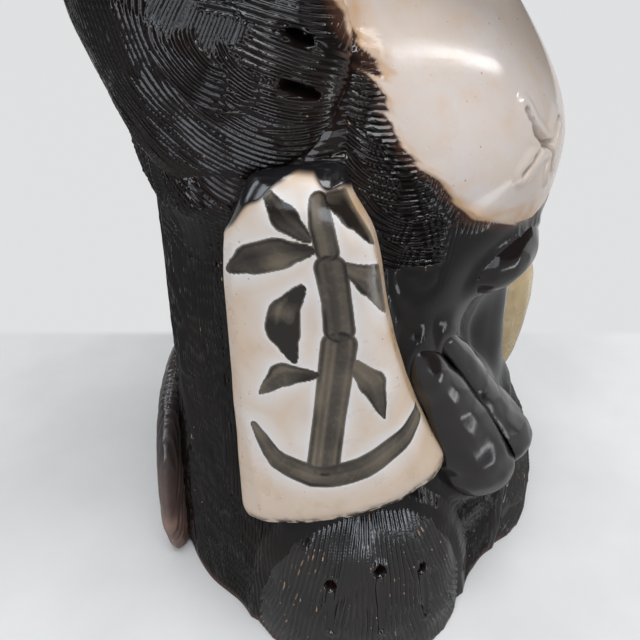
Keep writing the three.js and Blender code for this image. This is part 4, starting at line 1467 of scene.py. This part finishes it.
def floor_finish():
    """Pale worn concrete, lighter past the line where the wall stands in the picture, and painted darker
    where the glaze mirrors it, as a painted shade.
    """
    finish, tree, shader = finish_of("pale_floor")
    apart = tree.nodes.new("ShaderNodeSeparateXYZ")
    tree.links.new(place_of(tree), apart.inputs["Vector"])
    sideways = times(tree, apart.outputs["X"], ahead.x)
    away = sums(tree, "ADD", sideways, times(tree, apart.outputs["Y"], ahead.y))
    past = graded(tree, away, wall_line - 4 * MM, wall_line + 4 * MM)
    ground = blend(tree, mottle(tree, 9, 5, 0.35, 0.65), (0.68, 0.68, 0.68), (0.76, 0.76, 0.76))
    ground = blend(tree, mottle(tree, 160, 5, 0.66, 0.74, 0, 0.4, 0.7), ground, (0.86, 0.86, 0.86))
    rays = tree.nodes.new("ShaderNodeLightPath")
    glossy = rays.outputs["Is Glossy Ray"]
    # Painted shade: the floor turns darker only where it is seen in the glaze
    ground = blend(tree, times(tree, glossy, mirrored_floor_shade), ground, (0.03, 0.03, 0.03))
    tree.links.new(blend(tree, past, ground, (0, 0, 0)), shader.inputs["Base Color"])
    shader.inputs["Emission Color"].default_value = (0.985, 0.99, 1.0, 1)
    seen = sums(tree, "MAXIMUM", rays.outputs["Is Camera Ray"], glossy)
    glow = times(tree, times(tree, past, wall_glow), seen)
    tree.links.new(glow, shader.inputs["Emission Strength"])
    tree.links.new(mottle(tree, 20, 3, 0.3, 0.7, 0.75, 0.9), shader.inputs["Roughness"])
    shader.inputs["Specular IOR Level"].default_value = 0.2
    return finish


wall_line = float(Vector((axis[0], axis[1], 0)).dot(ahead)) + wall_distance
only_nothing()
bpy.ops.mesh.primitive_plane_add(size=14)
floor = bpy.context.object
floor.name = "floor"
floor.data.materials.append(floor_finish())


def lamp(name, place, aim, width, depth, roll, power, colour):
    """An area lamp that the camera does not see."""
    light = bpy.data.lights.new(name, "AREA")
    light.shape = "RECTANGLE"
    light.size = width
    light.size_y = depth
    light.energy = power
    light.color = colour
    lamp_object = bpy.data.objects.new(name, light)
    lamp_object.location = place
    facing = (Vector(aim) - Vector(place)).to_track_quat("-Z", "Y") @ Quaternion((0, 0, 1), roll * DEGREE)
    lamp_object.rotation_euler = facing.to_euler()
    lamp_object.visible_camera = False
    bpy.context.scene.collection.objects.link(lamp_object)
    return lamp_object


panel_distance = 1.8
panel_middle = (axis[0], axis[1], 0.2)
panel_colour = (0.86, 0.92, 1.0)
strip_colour = (0.95, 0.97, 1.0)
lamp_aim = (0, 0, 0.25)


def bright_panel(name, turn, tilt, width, height, strength, lights=False):
    """A panel round the statue; most are seen only as a gleam in the glaze."""
    away = outward(np.array(turn * DEGREE)) * math.cos(tilt * DEGREE)
    away[2] = math.sin(tilt * DEGREE)
    place = np.array(panel_middle) + panel_distance * away
    power = strength * math.pi * width * height
    panel = lamp(name, place, panel_middle, width, height, 0, power, panel_colour)
    panel.visible_diffuse = lights


def floor_strip(name, start, end, width, strength):
    """A strip of light that lies on the floor and is seen only as a gleam in the glaze."""
    run = Vector(end) - Vector(start)
    place = (Vector(end) + Vector(start)) / 2 + Vector((0, 0, 4 * MM))
    power = strength * math.pi * run.length * width
    strip = lamp(name, place, place + Vector((0, 0, 1)), run.length, width, 0, power, strip_colour)
    strip.rotation_euler = (math.pi, 0, math.atan2(run.y, run.x))
    strip.visible_diffuse = False


lamp("soft_top", (-0.30, -0.30, 1.75), lamp_aim, 0.9, 0.7, 0, 18, (0.96, 0.98, 1.0))
lamp("window", (0.62, -1.12, 1.42), lamp_aim, 1.66, 0.06, -28, 7, (0.98, 0.99, 1.0))
bright_panel("panel_by_the_hand", 78, 24, 0.40, 1.0, 3.8, True)
bright_panel("panel_by_the_elbow", 108, 30, 0.50, 0.9, 6.0)
bright_panel("panel_by_the_back", 140, 26, 0.40, 1.0, 5.0)
bright_panel("panel_by_the_foot", 52, 7, 0.80, 0.8, 5.2)
bright_panel("panel_by_the_leg", 22, 2, 0.90, 0.5, 2.2)
floor_strip("strip_before_the_bag", (0.04, -0.44, 0), (0.44, -0.72, 0), 0.10, 4.2)
world = bpy.data.worlds.new("soft_room")
bpy.context.scene.world = world
world.use_nodes = True
room = world.node_tree
sky = room.nodes["Background"]
sky.inputs["Color"].default_value = (0.97, 0.985, 1.0, 1)
rays = room.nodes.new("ShaderNodeLightPath")
mirrored_room = graded(room, rays.outputs["Is Glossy Ray"], 0, 1, room_light, mirrored_room_light)
seen_room = times(room, rays.outputs["Is Camera Ray"], backdrop_light)
room.links.new(sums(room, "ADD", mirrored_room, seen_room), sky.inputs["Strength"])
bpy.context.scene.view_settings.view_transform = "Standard"
